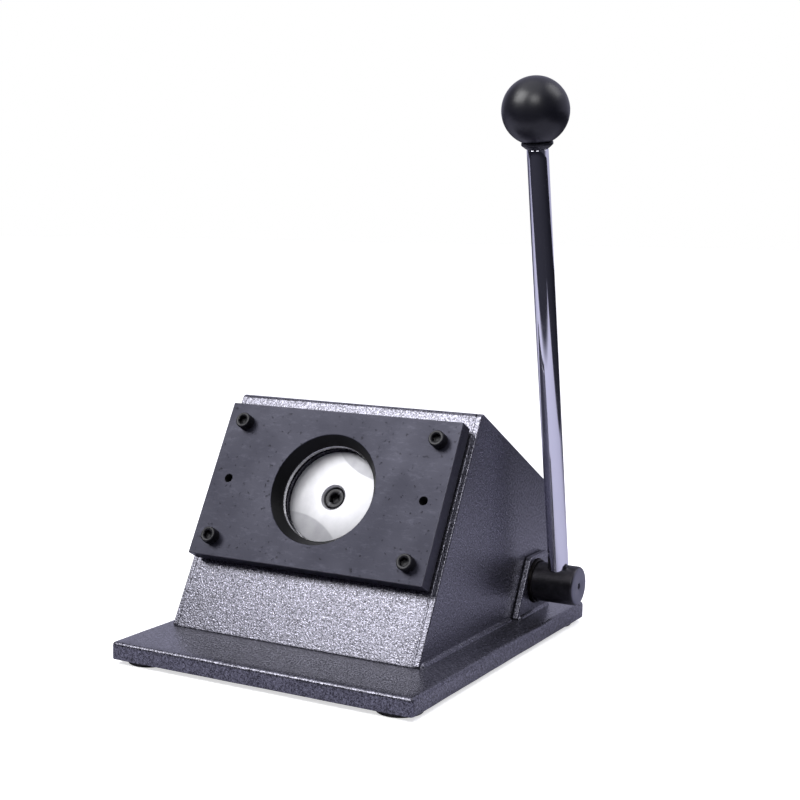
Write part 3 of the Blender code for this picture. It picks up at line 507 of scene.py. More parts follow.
def black_oxide(name="black_oxide_finish", base=0.008, roughness=0.34):
    """Black oxide on steel, with a faint machined grain, cloudiness and rubbed edges."""
    made, tree, shader, coordinates = blank(name)
    cloud = grain(tree, coordinates, 22 * MM, 4.0)
    fine = grain(tree, coordinates, 0.5 * MM)
    streak = grain(tree, stretched(tree, coordinates, (60, 900, 900)), 1.0, 3.0)
    edge = spread(tree, node(tree, "NewGeometry").outputs["Pointiness"], 0.54, 0.62)
    body = blend(tree, spread(tree, cloud, 0.3, 0.7),
                 (base, base, base * 1.25), (base * 1.7, base * 1.7, base * 2.05))
    connect(tree, shader, {
        "Base Color": blend(tree, edge, body, (0.05, 0.05, 0.058)),
        "Roughness": spread(tree, cloud, 0.3, 0.7, roughness - 0.04, roughness + 0.07),
        "Metallic": 0.25,
        "Specular IOR Level": 0.30,
    })
    bump(tree, shader, [(fine, 0.02 * MM, 0.35), (streak, 0.01 * MM, 0.4)])
    return made


def die_oxide():
    """The die plate's black oxide, greyer than the screws', with small nicks and scuffs from use."""
    made, tree, shader, coordinates = blank("die_plate_finish")
    cloud = grain(tree, coordinates, 30 * MM, 4.0)
    fine = grain(tree, coordinates, 0.6 * MM)
    streak = grain(tree, stretched(tree, coordinates, (900, 60, 900)), 1.0, 3.0)
    nick = spread(tree, grain(tree, coordinates, 3.2 * MM, 2.5, 0.55), 0.655, 0.70)
    scuff = grain(tree, stretched(tree, coordinates, (160, 420, 200)), 1.0, 5.0, 0.72)
    body = blend(tree, spread(tree, cloud, 0.3, 0.7), (0.012, 0.012, 0.019), (0.026, 0.026, 0.037))
    scuffed = blend(tree, spread(tree, scuff, 0.52, 0.74, 0, 0.70), body, (0.055, 0.055, 0.074))
    nicked = blend(tree, nick, scuffed, (0.006, 0.006, 0.008))
    edge = node(tree, "Attribute", attribute_name=EDGE_WEAR).outputs["Fac"]
    rubbed = math_node(tree, "MULTIPLY", edge, spread(tree, cloud, 0.3, 0.7, 0.45, 1.0))
    uneven = math_node(tree, "ADD", spread(tree, cloud, 0.3, 0.7, 0.24, 0.44),
                       spread(tree, fine, 0.3, 0.7, 0, 0.07))
    connect(tree, shader, {
        "Base Color": blend(tree, rubbed, nicked, (0.075, 0.075, 0.090)),
        "Roughness": uneven,
        "Metallic": 0.2,
        "Specular IOR Level": 0.32,
        "Specular Tint": (0.80, 0.80, 1.0, 1.0),
    })
    sunk = math_node(tree, "MULTIPLY", nick, -1.0)
    bump(tree, shader, [(fine, 0.02 * MM, 0.35), (streak, 0.012 * MM, 0.35), (sunk, 0.12 * MM, 0.6)])
    return made


def punch_steel():
    """Bright ground steel: fine turning rings under two fans left by the grinding wheel."""
    made, tree, shader, coordinates = blank("ground_punch_face")
    fade = 0.4 * MM
    fans = []
    for centre_x, centre_y in WHEEL_CENTRES:
        span = node(tree, "VectorMath", {0: coordinates, 1: (centre_x, centre_y, PUNCH_FACE)},
                    operation="DISTANCE")
        fans.append(spread(tree, span.outputs["Value"], WHEEL_RADIUS - fade, WHEEL_RADIUS + fade, 1, 0))
    fan = math_node(tree, "MAXIMUM", *fans)
    cloud = grain(tree, coordinates, 9 * MM, 4.0)
    radial = node(tree, "SeparateXYZ", {"Vector": coordinates})
    squared = math_node(tree, "ADD", math_node(tree, "POWER", radial.outputs["X"], 2.0),
                        math_node(tree, "POWER", radial.outputs["Y"], 2.0))
    radians_per_metre = 16000.0
    phase = math_node(tree, "MULTIPLY", math_node(tree, "SQRT", squared), radians_per_metre)
    rings = math_node(tree, "SINE", phase)
    shade = spread(tree, cloud, 0.35, 0.65)
    plain = blend(tree, shade, (0.44, 0.44, 0.46), (0.50, 0.50, 0.52))
    dulled = blend(tree, shade, (0.32, 0.32, 0.34), (0.38, 0.38, 0.40))
    connect(tree, shader, {
        "Base Color": blend(tree, fan, plain, dulled),
        "Roughness": spread(tree, fan, 0, 1, 0.42, 0.50),
        "Metallic": 0.50,
    })
    bump(tree, shader, [(rings, 0.003 * MM, 0.25), (cloud, 0.02 * MM, 0.3)])
    return made


def machined(name, low, high, roughness, size=6.0 * MM):
    """Bare machined metal with tool streaks along one axis and uneven brightness."""
    made, tree, shader, coordinates = blank(name)
    cloud = grain(tree, coordinates, size, 4.0)
    streak = grain(tree, stretched(tree, coordinates, (40, 1400, 1400)), 1.0, 4.0, 0.65)
    uneven = weighed(tree, cloud, 0.6, streak)
    connect(tree, shader, {
        "Base Color": blend(tree, spread(tree, uneven, 0.35, 0.65), low, high),
        "Roughness": spread(tree, streak, 0.3, 0.7, roughness - 0.06, roughness + 0.10),
        "Metallic": 1.0,
    })
    bump(tree, shader, [(streak, 0.015 * MM, 0.5), (cloud, 0.05 * MM, 0.25)])
    return made


def turned_bar():
    """Dark turned bar: lathe rings along it and brighter cut end faces."""
    made, tree, shader, coordinates = blank("dark_turned_bar")
    cloud = grain(tree, coordinates, 7 * MM, 5.0, 0.6)
    rings = grain(tree, stretched(tree, coordinates, (2600, 30, 30)), 1.0)
    facing = node(tree, "SeparateXYZ", {"Vector": node(tree, "NewGeometry").outputs["True Normal"]})
    end = spread(tree, math_node(tree, "ABSOLUTE", facing.outputs["X"]), 0.55, 0.95)
    body = blend(tree, spread(tree, cloud, 0.32, 0.68), (0.016, 0.016, 0.019), (0.042, 0.039, 0.045))
    connect(tree, shader, {
        "Base Color": blend(tree, end, body, (0.19, 0.19, 0.23)),
        "Roughness": spread(tree, cloud, 0.3, 0.7, 0.31, 0.46),
        "Metallic": 0.75,
    })
    bump(tree, shader, [(rings, 0.012 * MM, 0.5), (cloud, 0.06 * MM, 0.3)])
    return made


def chrome():
    """Bright chromed rod with a faint drawn ripple and fine polishing marks."""
    made, tree, shader, coordinates = blank("bright_chrome")
    ripple = grain(tree, stretched(tree, coordinates, (160, 160, 9)), 1.0)
    haze = grain(tree, coordinates, 14 * MM, 4.0)
    polish = grain(tree, stretched(tree, coordinates, (900, 900, 2400)), 1.0, 1.0)
    connect(tree, shader, {
        "Base Color": blend(tree, haze, (0.80, 0.80, 0.88), (0.88, 0.88, 0.94)),
        "Roughness": spread(tree, haze, 0.3, 0.7, 0.035, 0.10),
        "Metallic": 1.0,
    })
    bump(tree, shader, [(ripple, 0.25 * MM, 0.10), (polish, 0.002 * MM, 0.3)])
    return made


def black_plastic():
    """Satin black moulded plastic with a fine orange peel and slight handling shine."""
    made, tree, shader, coordinates = blank("satin_black_plastic")
    peel = grain(tree, coordinates, 0.9 * MM)
    handled = grain(tree, coordinates, 13 * MM, 3.0)
    connect(tree, shader, {
        "Base Color": blend(tree, handled, (0.008, 0.008, 0.012), (0.012, 0.012, 0.018)),
        "Roughness": spread(tree, handled, 0.3, 0.7, 0.30, 0.40),
        "Specular IOR Level": 0.5,
    })
    bump(tree, shader, [(peel, 0.02 * MM, 0.35)])
    return made


def rubber():
    """Matt black rubber with a dusty, pitted skin."""
    made, tree, shader, coordinates = blank("pitted_black_rubber")
    pits = grain(tree, coordinates, 0.6 * MM, 3.0)
    dust = spread(tree, grain(tree, coordinates, 6 * MM, 4.0), 0.4, 0.75)
    connect(tree, shader, {
        "Base Color": blend(tree, dust, (0.010, 0.010, 0.010), (0.045, 0.043, 0.040)),
        "Roughness": spread(tree, pits, 0.3, 0.7, 0.72, 0.92),
    })
    bump(tree, shader, [(pits, 0.08 * MM, 0.5)])
    return made


def floor_card():
    """White studio card with a barely visible tooth.

    The camera sees it evenly white. Every other ray meets a greyer sheet that ends in front of the
    machine and to its right and fades towards the rear, with a dark room beyond.
    """
    made, tree, shader, coordinates = blank("white_card")
    tooth = grain(tree, coordinates, 1.2 * MM, 3.0)
    connect(tree, shader, {
        "Base Color": blend(tree, tooth, (0.955, 0.955, 0.958), (0.975, 0.975, 0.978)),
        "Roughness": spread(tree, tooth, 0.3, 0.7, 0.60, 0.70),
        "Specular IOR Level": 0.2,
        "Emission Color": (1, 1, 1, 1),
        "Emission Strength": CARD_GLOW,
    })
    axes = node(tree, "SeparateXYZ", {"Vector": coordinates})
    behind = spread(tree, axes.outputs["Y"], CARD_FRONT - CARD_FADE, CARD_FRONT + CARD_FADE)
    inside = spread(tree, axes.outputs["X"], CARD_RIGHT - CARD_FADE, CARD_RIGHT + CARD_FADE, 1, 0)
    ahead = spread(tree, axes.outputs["Y"], *CARD_REAR, 1, 0.15)
    sheet = math_node(tree, "MULTIPLY", math_node(tree, "MULTIPLY", behind, inside), ahead)
    mirrored = node(tree, "BsdfDiffuse", {"Color": blend(tree, sheet, (0.025, 0.025, 0.032), CARD_TONE)})
    seen = node(tree, "LightPath").outputs["Is Camera Ray"]
    either = node(tree, "MixShader", {0: seen, 1: mirrored.outputs["BSDF"], 2: shader.outputs["BSDF"]})
    connect(tree, tree.nodes["Material Output"], {"Surface": either.outputs["Shader"]})
    return made


def make_materials():
    """Every material, by a short name."""
    return {
        "paint": hammertone(),
        "oxide": black_oxide(),
        "die": die_oxide(),
        # near-black bore finish: painted shade for the die's relief cone and tapped holes
        "bore": black_oxide("painted_shade_bore_finish", 0.0025, 0.50),
        "punch": punch_steel(),
        "land": machined("ground_die_land", (0.42, 0.42, 0.44), (0.66, 0.66, 0.68), 0.24),
        "steel": machined("machined_steel", (0.22, 0.22, 0.24), (0.42, 0.42, 0.44), 0.34),
        "bar": turned_bar(),
        "chrome": chrome(),
        "plastic": black_plastic(),
        "rubber": rubber(),
        "bronze": machined("oil_black_bronze", (0.010, 0.009, 0.009), (0.026, 0.023, 0.022), 0.42),
        "spring": machined("spring_wire", (0.12, 0.12, 0.13), (0.26, 0.26, 0.28), 0.30, 3.0 * MM),
    }


# ---------------------------------------------------------------- base

def make_base(finish):
    """The thick base plate: a fine mesh whose rounded edges waver a little, as on dressed steel."""
    low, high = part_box("base_plate")
    shape = box_shape(low, high)
    top_and_corners = [edge for edge in shape.edges if any(vert.co.z > high.z - MM for vert in edge.verts)]
    bmesh.ops.bevel(shape, geom=top_and_corners, offset=BASE_EDGE_RADIUS, segments=5, profile=0.5,
                    affect="EDGES")
    bottom = [edge for edge in shape.edges if all(vert.co.z < low.z + 0.1 * MM for vert in edge.verts)]
    bmesh.ops.bevel(shape, geom=bottom, offset=0.6 * MM, segments=2, profile=0.5, affect="EDGES")
    long_side = 60 * MM
    rows = 48
    long_edges = [edge for edge in shape.edges if edge.calc_length() > long_side]
    bmesh.ops.subdivide_edges(shape, edges=long_edges, cuts=rows - 1, use_grid_fill=True)
    middle = (low + high) / 2
    rim_width = 3.0 * MM
    for vert in shape.verts:
        swell = sum(noise.noise(vert.co * rate) * depth for rate, depth in WAVER)
        outward = Vector((vert.co.x - middle.x, vert.co.y - middle.y, 0)).normalized()
        near_side = min(high.x - abs(vert.co.x - middle.x) - middle.x,
                        high.y - abs(vert.co.y - middle.y) - middle.y)
        if near_side < rim_width:
            vert.co += outward * (swell - WAVER_INSET)
    piece = place("base_plate_fine", finish_mesh(shape), [finish])
    mount(piece, "frame", "hammertone_paint", "base_plate")


def make_feet(finish, screw_finish):
    """Round rubber feet with a rounded lip, a recessed middle and a screw."""
    lip = 0.8 * MM
    recess = 1.1 * MM
    head = [(0, 0.55 * MM), (2.4 * MM, 0.55 * MM), (3.0 * MM, 0.9 * MM), (3.0 * MM, 1.3 * MM), (0, 1.3 * MM)]
    for side in ("left", "right"):
        for end in ("front", "rear"):
            low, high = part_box(f"foot_{end}_{side}")
            radius = (high.x - low.x) / 2
            height = high.z - low.z
            rings = [(0, recess), (5.6 * MM, recess), (6.2 * MM, 0.5 * MM), (6.6 * MM, 0)]
            rings += arc((radius - 2 * lip, lip), lip, -90, 0, 5)
            rings += [(radius - 0.2 * MM, height - 0.5 * MM), (radius, height), (0, height)]
            matrix = Matrix.Translation(((low.x + high.x) / 2, (low.y + high.y) / 2, low.z))
            foot = place(f"foot_{end}_{side}_fine", turned(rings, 64), [finish], matrix)
            mount(foot, "frame", "black_rubber", f"foot_{end}_{side}")
            screw = place(f"foot_screw_{end}_{side}", turned(head, 40), [screw_finish], matrix)
            mount(screw, "frame", "black_oxide")


# ---------------------------------------------------------------- housing

def along_x(x, y=0.0, z=0.0):
    """A frame whose local Z is +X, local X is +Y and local Y is +Z."""
    turn = Matrix(((0, 0, 1, 0), (1, 0, 0, 0), (0, 1, 0, 0), (0, 0, 0, 1)))
    return Matrix.Translation((x, y, z)) @ turn


class Layout:
    """Places that several pieces share, worked out from the CAD boxes and driving dimensions."""

    def __init__(self):
        base_low, base_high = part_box("base_plate")
        self.left_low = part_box("side_plate_left")[0].x
        self.right_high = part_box("side_plate_right")[1].x
        self.housing_x = (self.left_low + self.right_high) / 2
        self.half_width = (self.right_high - self.left_low) / 2
        self.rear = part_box("side_plate_right")[1].y
        self.base_top = base_high.z
        self.toe = base_low.y + TOE_FROM_FRONT
        self.slope_length = HOUSING_HEIGHT / math.sin(SLOPE)
        self.inner_half = self.half_width - SHEET - GAP
        self.foot_point = self.slope_point(GAP / math.sin(SLOPE), 0)
        self.top_point = self.slope_point(self.slope_length, 0)
        self.rear_top_point = self.on_rear(self.slope_length)
        self.shaft_y = base_low.y + SHAFT_FROM_FRONT
        self.shaft_z = base_low.z + SHAFT_ABOVE_FOOT
        bush_low, bush_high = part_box("bush_right")
        self.bush_radius = (bush_high.y - bush_low.y) / 2
        self.lever_x = (base_low.x + base_high.x) / 2 + LEVER_FROM_BASE_MIDDLE
        y, z = self.slope_point(PUNCH_UP_SLOPE, 0)
        turn = Matrix.Rotation(SLOPE, 4, "X")
        self.slope = Matrix.Translation((self.housing_x, y, z)) @ turn
        lean = Matrix.Rotation(LEVER_LEAN, 4, "X")
        self.lever = Matrix.Translation((self.lever_x, self.shaft_y, self.shaft_z)) @ lean

    def slope_point(self, up, out):
        """World (y, z) of a point up the sloping face from its foot, and out from that face."""
        y = self.toe + up * math.cos(SLOPE) - out * math.sin(SLOPE)
        z = self.base_top + up * math.sin(SLOPE) + out * math.cos(SLOPE)
        return y, z

    def on_rear(self, up):
        """World (y, z) where the rear plane is met, square in from a height up the sloping face."""
        depth = (self.rear - self.toe - up * math.cos(SLOPE)) / math.sin(SLOPE)
        return self.slope_point(up, -depth)

    def on_shaft(self, x=0.0):
        """A frame along X on the shaft's axis."""
        return along_x(x, self.shaft_y, self.shaft_z)


def make_side_plates(layout, finish):
    """The two side plates, with dressed edges all round."""
    rear_foot = (layout.rear, layout.base_top + GAP)
    outline = rounded([layout.foot_point, layout.top_point, layout.rear_top_point, rear_foot],
                      [0, HOUSING_CORNER, HOUSING_CORNER, 0])
    for side in ("left", "right"):
        low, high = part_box(f"side_plate_{side}")
        plate = place(f"side_plate_{side}_fine", prism(outline, low.x, high.x, PLATE_EDGE_RADIUS, 4),
                      [finish], along_x(0))
        cutters = []
        if side == "right":
            hole = cylinder(layout.bush_radius + GAP, low.x - CUT_MARGIN, high.x + CUT_MARGIN, 72)
            cutters.append((hole, layout.on_shaft()))
        cut(plate, cutters)
        mount(plate, "frame", "hammertone_paint", f"side_plate_{side}")


def make_housing_sheet(layout, finish):
    """The bent sheet that is the sloping face and the roof, with a rounded bend."""
    inner_up = layout.slope_length - SHEET
    inner_toe = (GAP + SHEET * math.cos(SLOPE)) / math.sin(SLOPE)
    outline = rounded([
        layout.foot_point,
        layout.top_point,
        layout.rear_top_point,
        layout.on_rear(inner_up),
        layout.slope_point(inner_up, -SHEET),
        layout.slope_point(inner_toe, -SHEET),
    ], [0, HOUSING_CORNER, 0, 0, PLATE_EDGE_RADIUS, 0])
    data = prism(outline, -layout.inner_half, layout.inner_half, 0.15 * MM, 2)
    sheet = place("housing_sheet_fine", data, [finish], along_x(layout.housing_x))
    below, above = -SHEET - CUT_MARGIN, CUT_MARGIN
    cutters = [(cylinder(FACE_HOLE_RADIUS, below, above, 96), layout.slope)]
    for _, x, y in screw_places():
        hole = cylinder(SCREW_HOLE_RADIUS, below, above, 32)
        cutters.append((hole, layout.slope @ Matrix.Translation((x, y, 0))))
    cut(sheet, cutters)
    mount(sheet, "frame", "hammertone_paint", "housing_sheet")


def button_screw():
    """A button-head socket screw; its seat is a little above local Z = 0 and its shank goes down."""
    end = -10.7 * MM
    shank = 2.0 * MM
    head = 3.6 * MM
    rim = 0.9 * MM
    key = hexagon(2.5 * MM)
    rings = [(0, end), (shank - 0.1 * MM, end), (shank, end + 0.3 * MM), (shank, GAP), (head, GAP),
             (head, rim)]
    rings += arc((head - 1.4 * MM, rim), 1.4 * MM, 15, 75, 4)
    rings += [(1.75 * MM, 2.4 * MM), (key, 2.1 * MM), (key, rim), (0, 0.7 * MM)]
    return turned(rings, 48)


def make_rear_cover(layout, finish, screw_finish):
    """The rear cover with rounded edges, and its button-head screws."""
    low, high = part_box("rear_cover")
    cover = place("rear_cover_fine", block(low, high, 0.7 * MM), [finish])
    cutters = []
    hole_rings = [(0, -4 * MM), (2.3 * MM, -4 * MM), (2.3 * MM, -0.4 * MM), (2.7 * MM, MM), (0, MM)]
    for level in ("bottom", "top"):
        for side in ("left", "right"):
            name = f"cover_screw_{level}_{side}"
            screw_low, screw_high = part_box(name)
            x = (screw_low.x + screw_high.x) / 2
            z = (screw_low.z + screw_high.z) / 2
            to_rear = Matrix.Translation((x, layout.rear, z)) @ Matrix.Rotation(-math.pi / 2, 4, "X")
            cutters.append((turned(hole_rings, 40), to_rear))
            screw = place(f"{name}_fine", button_screw(), [screw_finish], to_rear)
            mount(screw, "frame", "black_oxide", name)
    cut(cover, cutters)
    mount(cover, "frame", "hammertone_paint", "rear_cover")


# ---------------------------------------------------------------- welds

def weld_bead(name, start, end, first_side, second_side, leg, finish, seed):
    """A painted fillet weld from start to end, in the corner between two directions."""
    start = Vector(start)
    along = Vector(end) - start
    length = along.length
    along.normalize()
    first_side = Vector(first_side)
    second_side = Vector(second_side)
    ripple_pitch = 2.4 * MM
    steps = int(length / (0.5 * MM))
    sink = 0.25 * MM
    sections = []
    for step in range(steps + 1):
        travelled = length * step / steps
        ripple = abs(math.sin(math.pi * travelled / ripple_pitch))
        wander = noise.noise(Vector((travelled * 120, seed, 0)))
        ends = min(travelled, length - travelled) / (2 * MM)
        size = leg * (0.86 + 0.10 * ripple + 0.16 * wander) * min(1.0, 0.35 + 0.65 * ends)
        middle = start + along * travelled
        corners = [middle - first_side * sink - second_side * sink,
                   middle + first_side * size - second_side * sink]
        for part in range(7):
            angle = math.pi / 2 * part / 6
            across, out = polar(1, angle)
            swell = max(across + out, 1.0)
            crown = 0.07 * size * math.sin(2 * angle)
            corners.append(middle + first_side * (across * size / swell + crown)
                           + second_side * (out * size / swell + crown))
        corners.append(middle + second_side * size - first_side * sink)
        sections.append(corners)
    bead = place(name, lofted(sections), [finish])
    mount(bead, "frame", "hammertone_paint")


def make_welds(layout, finish):
    """The fillet welds along the foot of the housing and of the bearing bracket."""
    base = layout.base_top
    up = (0, 0, 1)
    outward = (1, 0, 0)
    right = layout.right_high
    left = layout.left_low
    toe_y = layout.slope_point(0, 0)[0]
    inset = 1.5 * MM
    leg = 2.3 * MM
    front = toe_y + inset
    rear = layout.rear - inset
    low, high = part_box("bearing_bracket")
    weld_bead("weld_right_front", (right, front, base), (right, low.y - MM, base),
              outward, up, leg, finish, 1)
    weld_bead("weld_right_rear", (right, high.y + MM, base), (right, rear, base),
              outward, up, leg, finish, 2)
    weld_bead("weld_left", (left, front, base), (left, rear, base), (-1, 0, 0), up, leg, finish, 3)
    weld_bead("weld_bracket_foot", (high.x, low.y + inset, base), (high.x, high.y - inset, base),
              outward, up, 2.0 * MM, finish, 4)
    toe_z = base + 0.2 * MM
    face_normal = (0, -math.sin(SLOPE), math.cos(SLOPE))
    weld_bead("weld_toe", (left + inset, toe_y, toe_z), (right - inset, toe_y, toe_z),
              (0, -1, 0), face_normal, 0.9 * MM, finish, 5)


def seam_strip(start, end, normal, seed):
    """A low, slightly uneven strip of filler from start to end, domed along its normal."""
    half = 0.9 * MM
    proud = 0.12 * MM
    sunk = 0.8 * MM
    skirt = 0.02 * MM
    along = (end - start).normalized()
    length = (end - start).length
    steps = int(length / (1.5 * MM))
    sections = []
    for step in range(steps + 1):
        travelled = length * step / steps
        middle = start + along * travelled
        ripple = noise.noise(Vector((travelled * 150, *seed))) * 0.05 * MM
        points = [(-half, -sunk), (-half, -skirt)]
        points += [(half * part / 3, (proud + ripple) * math.cos(math.pi / 2 * part / 3))
                   for part in range(-2, 3)]
        points += [(half, -skirt), (half, -sunk)]
        sections.append([middle + Vector((across, 0, 0)) + normal * height for across, height in points])
    return lofted(sections)


def make_seams(layout, finish):
    """The ground and painted-over seams where the bent sheet meets the side plates."""
    up_slope = Vector((0, math.cos(SLOPE), math.sin(SLOPE)))
    out = Vector((0, -math.sin(SLOPE), math.cos(SLOPE)))
    corner = 3.2 * MM
    toe = Vector((0, *layout.slope_point(0.6 * MM, 0)))
    top = Vector((0, *layout.top_point))
    rear_top = Vector((0, *layout.rear_top_point))
    runs = [("slope", toe, top - up_slope * corner, out),
            ("roof", top - out * corner, rear_top + out * corner, up_slope)]
    for side, sign in (("left", -1), ("right", 1)):
        across = Vector((layout.housing_x + sign * (layout.half_width - SHEET - GAP / 2), 0, 0))
        for run, start, end, normal in runs:
            strip = seam_strip(start + across, end + across, normal, (sign, len(run)))
            seam = place(f"seam_{run}_{side}", strip, [finish])
            mount(seam, "frame", "hammertone_paint")


# ---------------------------------------------------------------- die plate and punch

def screw_places():
    """The four die screws as (name, x, y) in the slope frame."""
    places = []
    for level, sign_y in (("lower", -1), ("upper", 1)):
        for side, sign_x in (("left", -1), ("right", 1)):
            x = SCREW_SHIFT[0] + sign_x * SCREW_SPACING[0] / 2
            y = SCREW_SHIFT[1] + sign_y * SCREW_SPACING[1] / 2
            places.append((f"{level}_{side}", x, y))
    return places


def cap_screw(head_radius, head_height, shank_radius, length, key, teeth):
    """A knurled socket cap screw; its head stands on local Z = 0 and its shank goes down."""
    knurl_depth = 0.14 * MM
    rim = knurl(head_radius, knurl_depth, teeth)
    land = head_radius - knurl_depth
    shoulder = 0.7 * MM
    socket = hexagon(key)
    rings = [
        (0, -length),
        (shank_radius - 0.5 * MM, -length),
        (shank_radius, -length + 0.5 * MM),
        (shank_radius, 0),
        (head_radius - 0.3 * MM, 0),
        (rim, 0.35 * MM),
        (rim, head_height - shoulder - 0.4 * MM),
        (land, head_height - shoulder),
    ]
    rings += arc((land - shoulder, head_height - shoulder), shoulder, 15, 90, 5)
    rings += [
        (key * 0.5 + 0.72 * MM, head_height),
        (key * 0.5 + 0.60 * MM, head_height - 0.06 * MM),
        (socket, head_height - 0.45 * MM),
        (socket, head_height * 0.45),
        (0, head_height * 0.45 - 0.8 * MM),
    ]
    return turned(rings, teeth * 2, sharp_angle=32)


def die_cutters(layout):
    """The shapes that cut the die plate's relieved opening, screw holes and tapped holes."""
    below, above = DIE_REAR - CUT_MARGIN, DIE_FRONT + CUT_MARGIN
    land_end = DIE_REAR + DIE_LAND_LENGTH
    edge = 0.15 * MM
    mouth = DIE_RELIEF_END
    opening = [(0, below), (DIE_LAND_RADIUS, below), (DIE_LAND_RADIUS, land_end - edge),
               (DIE_LAND_RADIUS + edge, land_end), (DIE_RELIEF_START, land_end),
               (mouth - edge, DIE_FRONT - 0.35 * MM), (mouth + 0.05 * MM, DIE_FRONT - 0.12 * MM),
               (mouth + 0.4 * MM, DIE_FRONT + 0.1 * MM), (mouth + 0.4 * MM, above), (0, above)]
    tapped = [(0, DIE_FRONT - GUIDE_HOLE_DEPTH), (GUIDE_HOLE_RADIUS, DIE_FRONT - GUIDE_HOLE_DEPTH),
              (GUIDE_HOLE_RADIUS, DIE_FRONT - 2.2 * MM), (GUIDE_HOLE_MOUTH, DIE_FRONT + 0.05 * MM),
              (GUIDE_HOLE_MOUTH, above), (0, above)]
    cutters = [(turned(opening, 160), layout.slope)]
    for _, x, y in screw_places():
        hole = cylinder(SCREW_HOLE_RADIUS, below, above, 32)
        cutters.append((hole, layout.slope @ Matrix.Translation((x, y, 0))))
    for sign in (-1, 1):
        here = layout.slope @ Matrix.Translation((sign * GUIDE_HOLE_OFFSET, 0, 0))
        cutters.append((turned(tapped, 40), here))
    return cutters


def finish_die_holes(data):
    """Give the cutting land its bright finish, and the relief cone and tapped holes the near-black bore
    finish, which paints the shade in these recesses.
    """
    land, bore = 1, 2
    for polygon in data.polygons:
        corners = [data.vertices[index].co for index in polygon.vertices]
        middle = sum(corners, Vector()) / len(corners)
        reach = max(corner.xy.length for corner in corners)
        from_tapped = math.hypot(abs(middle.x) - GUIDE_HOLE_OFFSET, middle.y)
        below_face = min(corner.z for corner in corners) < DIE_FRONT - 0.3 * MM
        if reach < DIE_RELIEF_START - 0.1 * MM:
            polygon.material_index = land
        # painted shade: the recessed cone and tapped-hole faces get the near-black bore finish
        elif below_face and (from_tapped < 3.0 * MM or reach < DIE_RELIEF_END):
            polygon.material_index = bore


def make_die_plate(layout, materials):
    """The die plate: rounded edges, a relieved opening with a bright cutting land, and its holes."""
    half_x, half_y = DIE_SIZE[0] / 2, DIE_SIZE[1] / 2
    data = block((-half_x, -half_y, DIE_REAR), (half_x, half_y, DIE_FRONT), 0.55 * MM)
    finishes = [materials["die"], materials["land"], materials["bore"]]
    plate = place("die_plate_fine", data, finishes, layout.slope)
    cut(plate, die_cutters(layout))
    finish_die_holes(plate.data)
    mark_rubbed_edges(plate)
    mount(plate, "frame", "black_oxide", "die_plate")


def make_die_screws(layout, materials):
    """The four die screws, each stopped at its own angle, and their spacers in the paper slot."""
    bore, rim = SCREW_HOLE_RADIUS, SPACER_RADIUS
    edge = 0.3 * MM
    spacer = [(bore, GAP), (rim - edge, GAP), (rim, GAP + edge), (rim, DIE_REAR - GAP - edge),
              (rim - edge, DIE_REAR - GAP), (bore, DIE_REAR - GAP)]
    for name, x, y in screw_places():
        here = layout.slope @ Matrix.Translation((x, y, 0))
        ring = place(f"slot_spacer_{name}_fine", turned(spacer, 48, closed=True), [materials["steel"]], here)
        mount(ring, "frame", "plain_steel", f"slot_spacer_{name}")
        stop_angle = math.radians(1530 * x + 680 * y)
        turn = Matrix.Rotation(stop_angle, 4, "Z")
        seat = here @ Matrix.Translation((0, 0, DIE_FRONT + GAP)) @ turn
        data = cap_screw(head_radius=5.0 * MM, head_height=6.0 * MM, shank_radius=3.0 * MM,
                         length=31.0 * MM, key=5.0 * MM, teeth=48)
        screw = place(f"die_screw_{name}_fine", data, [materials["oxide"]], seat)
        mount(screw, "frame", "black_oxide", f"die_screw_{name}")


def make_punch(layout, materials):
    """The punch with its counterbore, and the screw in it."""
    rear = PUNCH_FACE - PUNCH_LENGTH
    seat = PUNCH_FACE - COUNTERBORE_DEPTH
    edge = 0.5 * MM
    rings = [
        (PUNCH_HOLE_RADIUS, rear),
        (PUNCH_RADIUS - edge, rear),
        (PUNCH_RADIUS, rear + edge),
        (PUNCH_RADIUS, PUNCH_FACE - edge),
        (PUNCH_RADIUS - 0.3 * edge, PUNCH_FACE - 0.3 * edge),
        (PUNCH_RADIUS - edge, PUNCH_FACE),
        (COUNTERBORE_MOUTH, PUNCH_FACE),
        (COUNTERBORE_RADIUS, PUNCH_FACE - (COUNTERBORE_MOUTH - COUNTERBORE_RADIUS)),
        (COUNTERBORE_RADIUS, seat),
        (PUNCH_HOLE_RADIUS, seat),
    ]
    punch = place("punch_fine", turned(rings, 160, closed=True), [materials["punch"]], layout.slope)
    even_shading(punch)
    mount(punch, "punch_slide", "ground_steel", "punch")
    data = cap_screw(head_radius=6.5 * MM, head_height=7.8 * MM, shank_radius=4.0 * MM,
                     length=24.0 * MM, key=6.0 * MM, teeth=54)
    here = layout.slope @ Matrix.Translation((0, 0, seat + GAP)) @ Matrix.Rotation(math.radians(12), 4, "Z")
    screw = place("punch_screw_fine", data, [materials["oxide"]], here)
    mount(screw, "punch_slide", "black_oxide", "punch_screw")


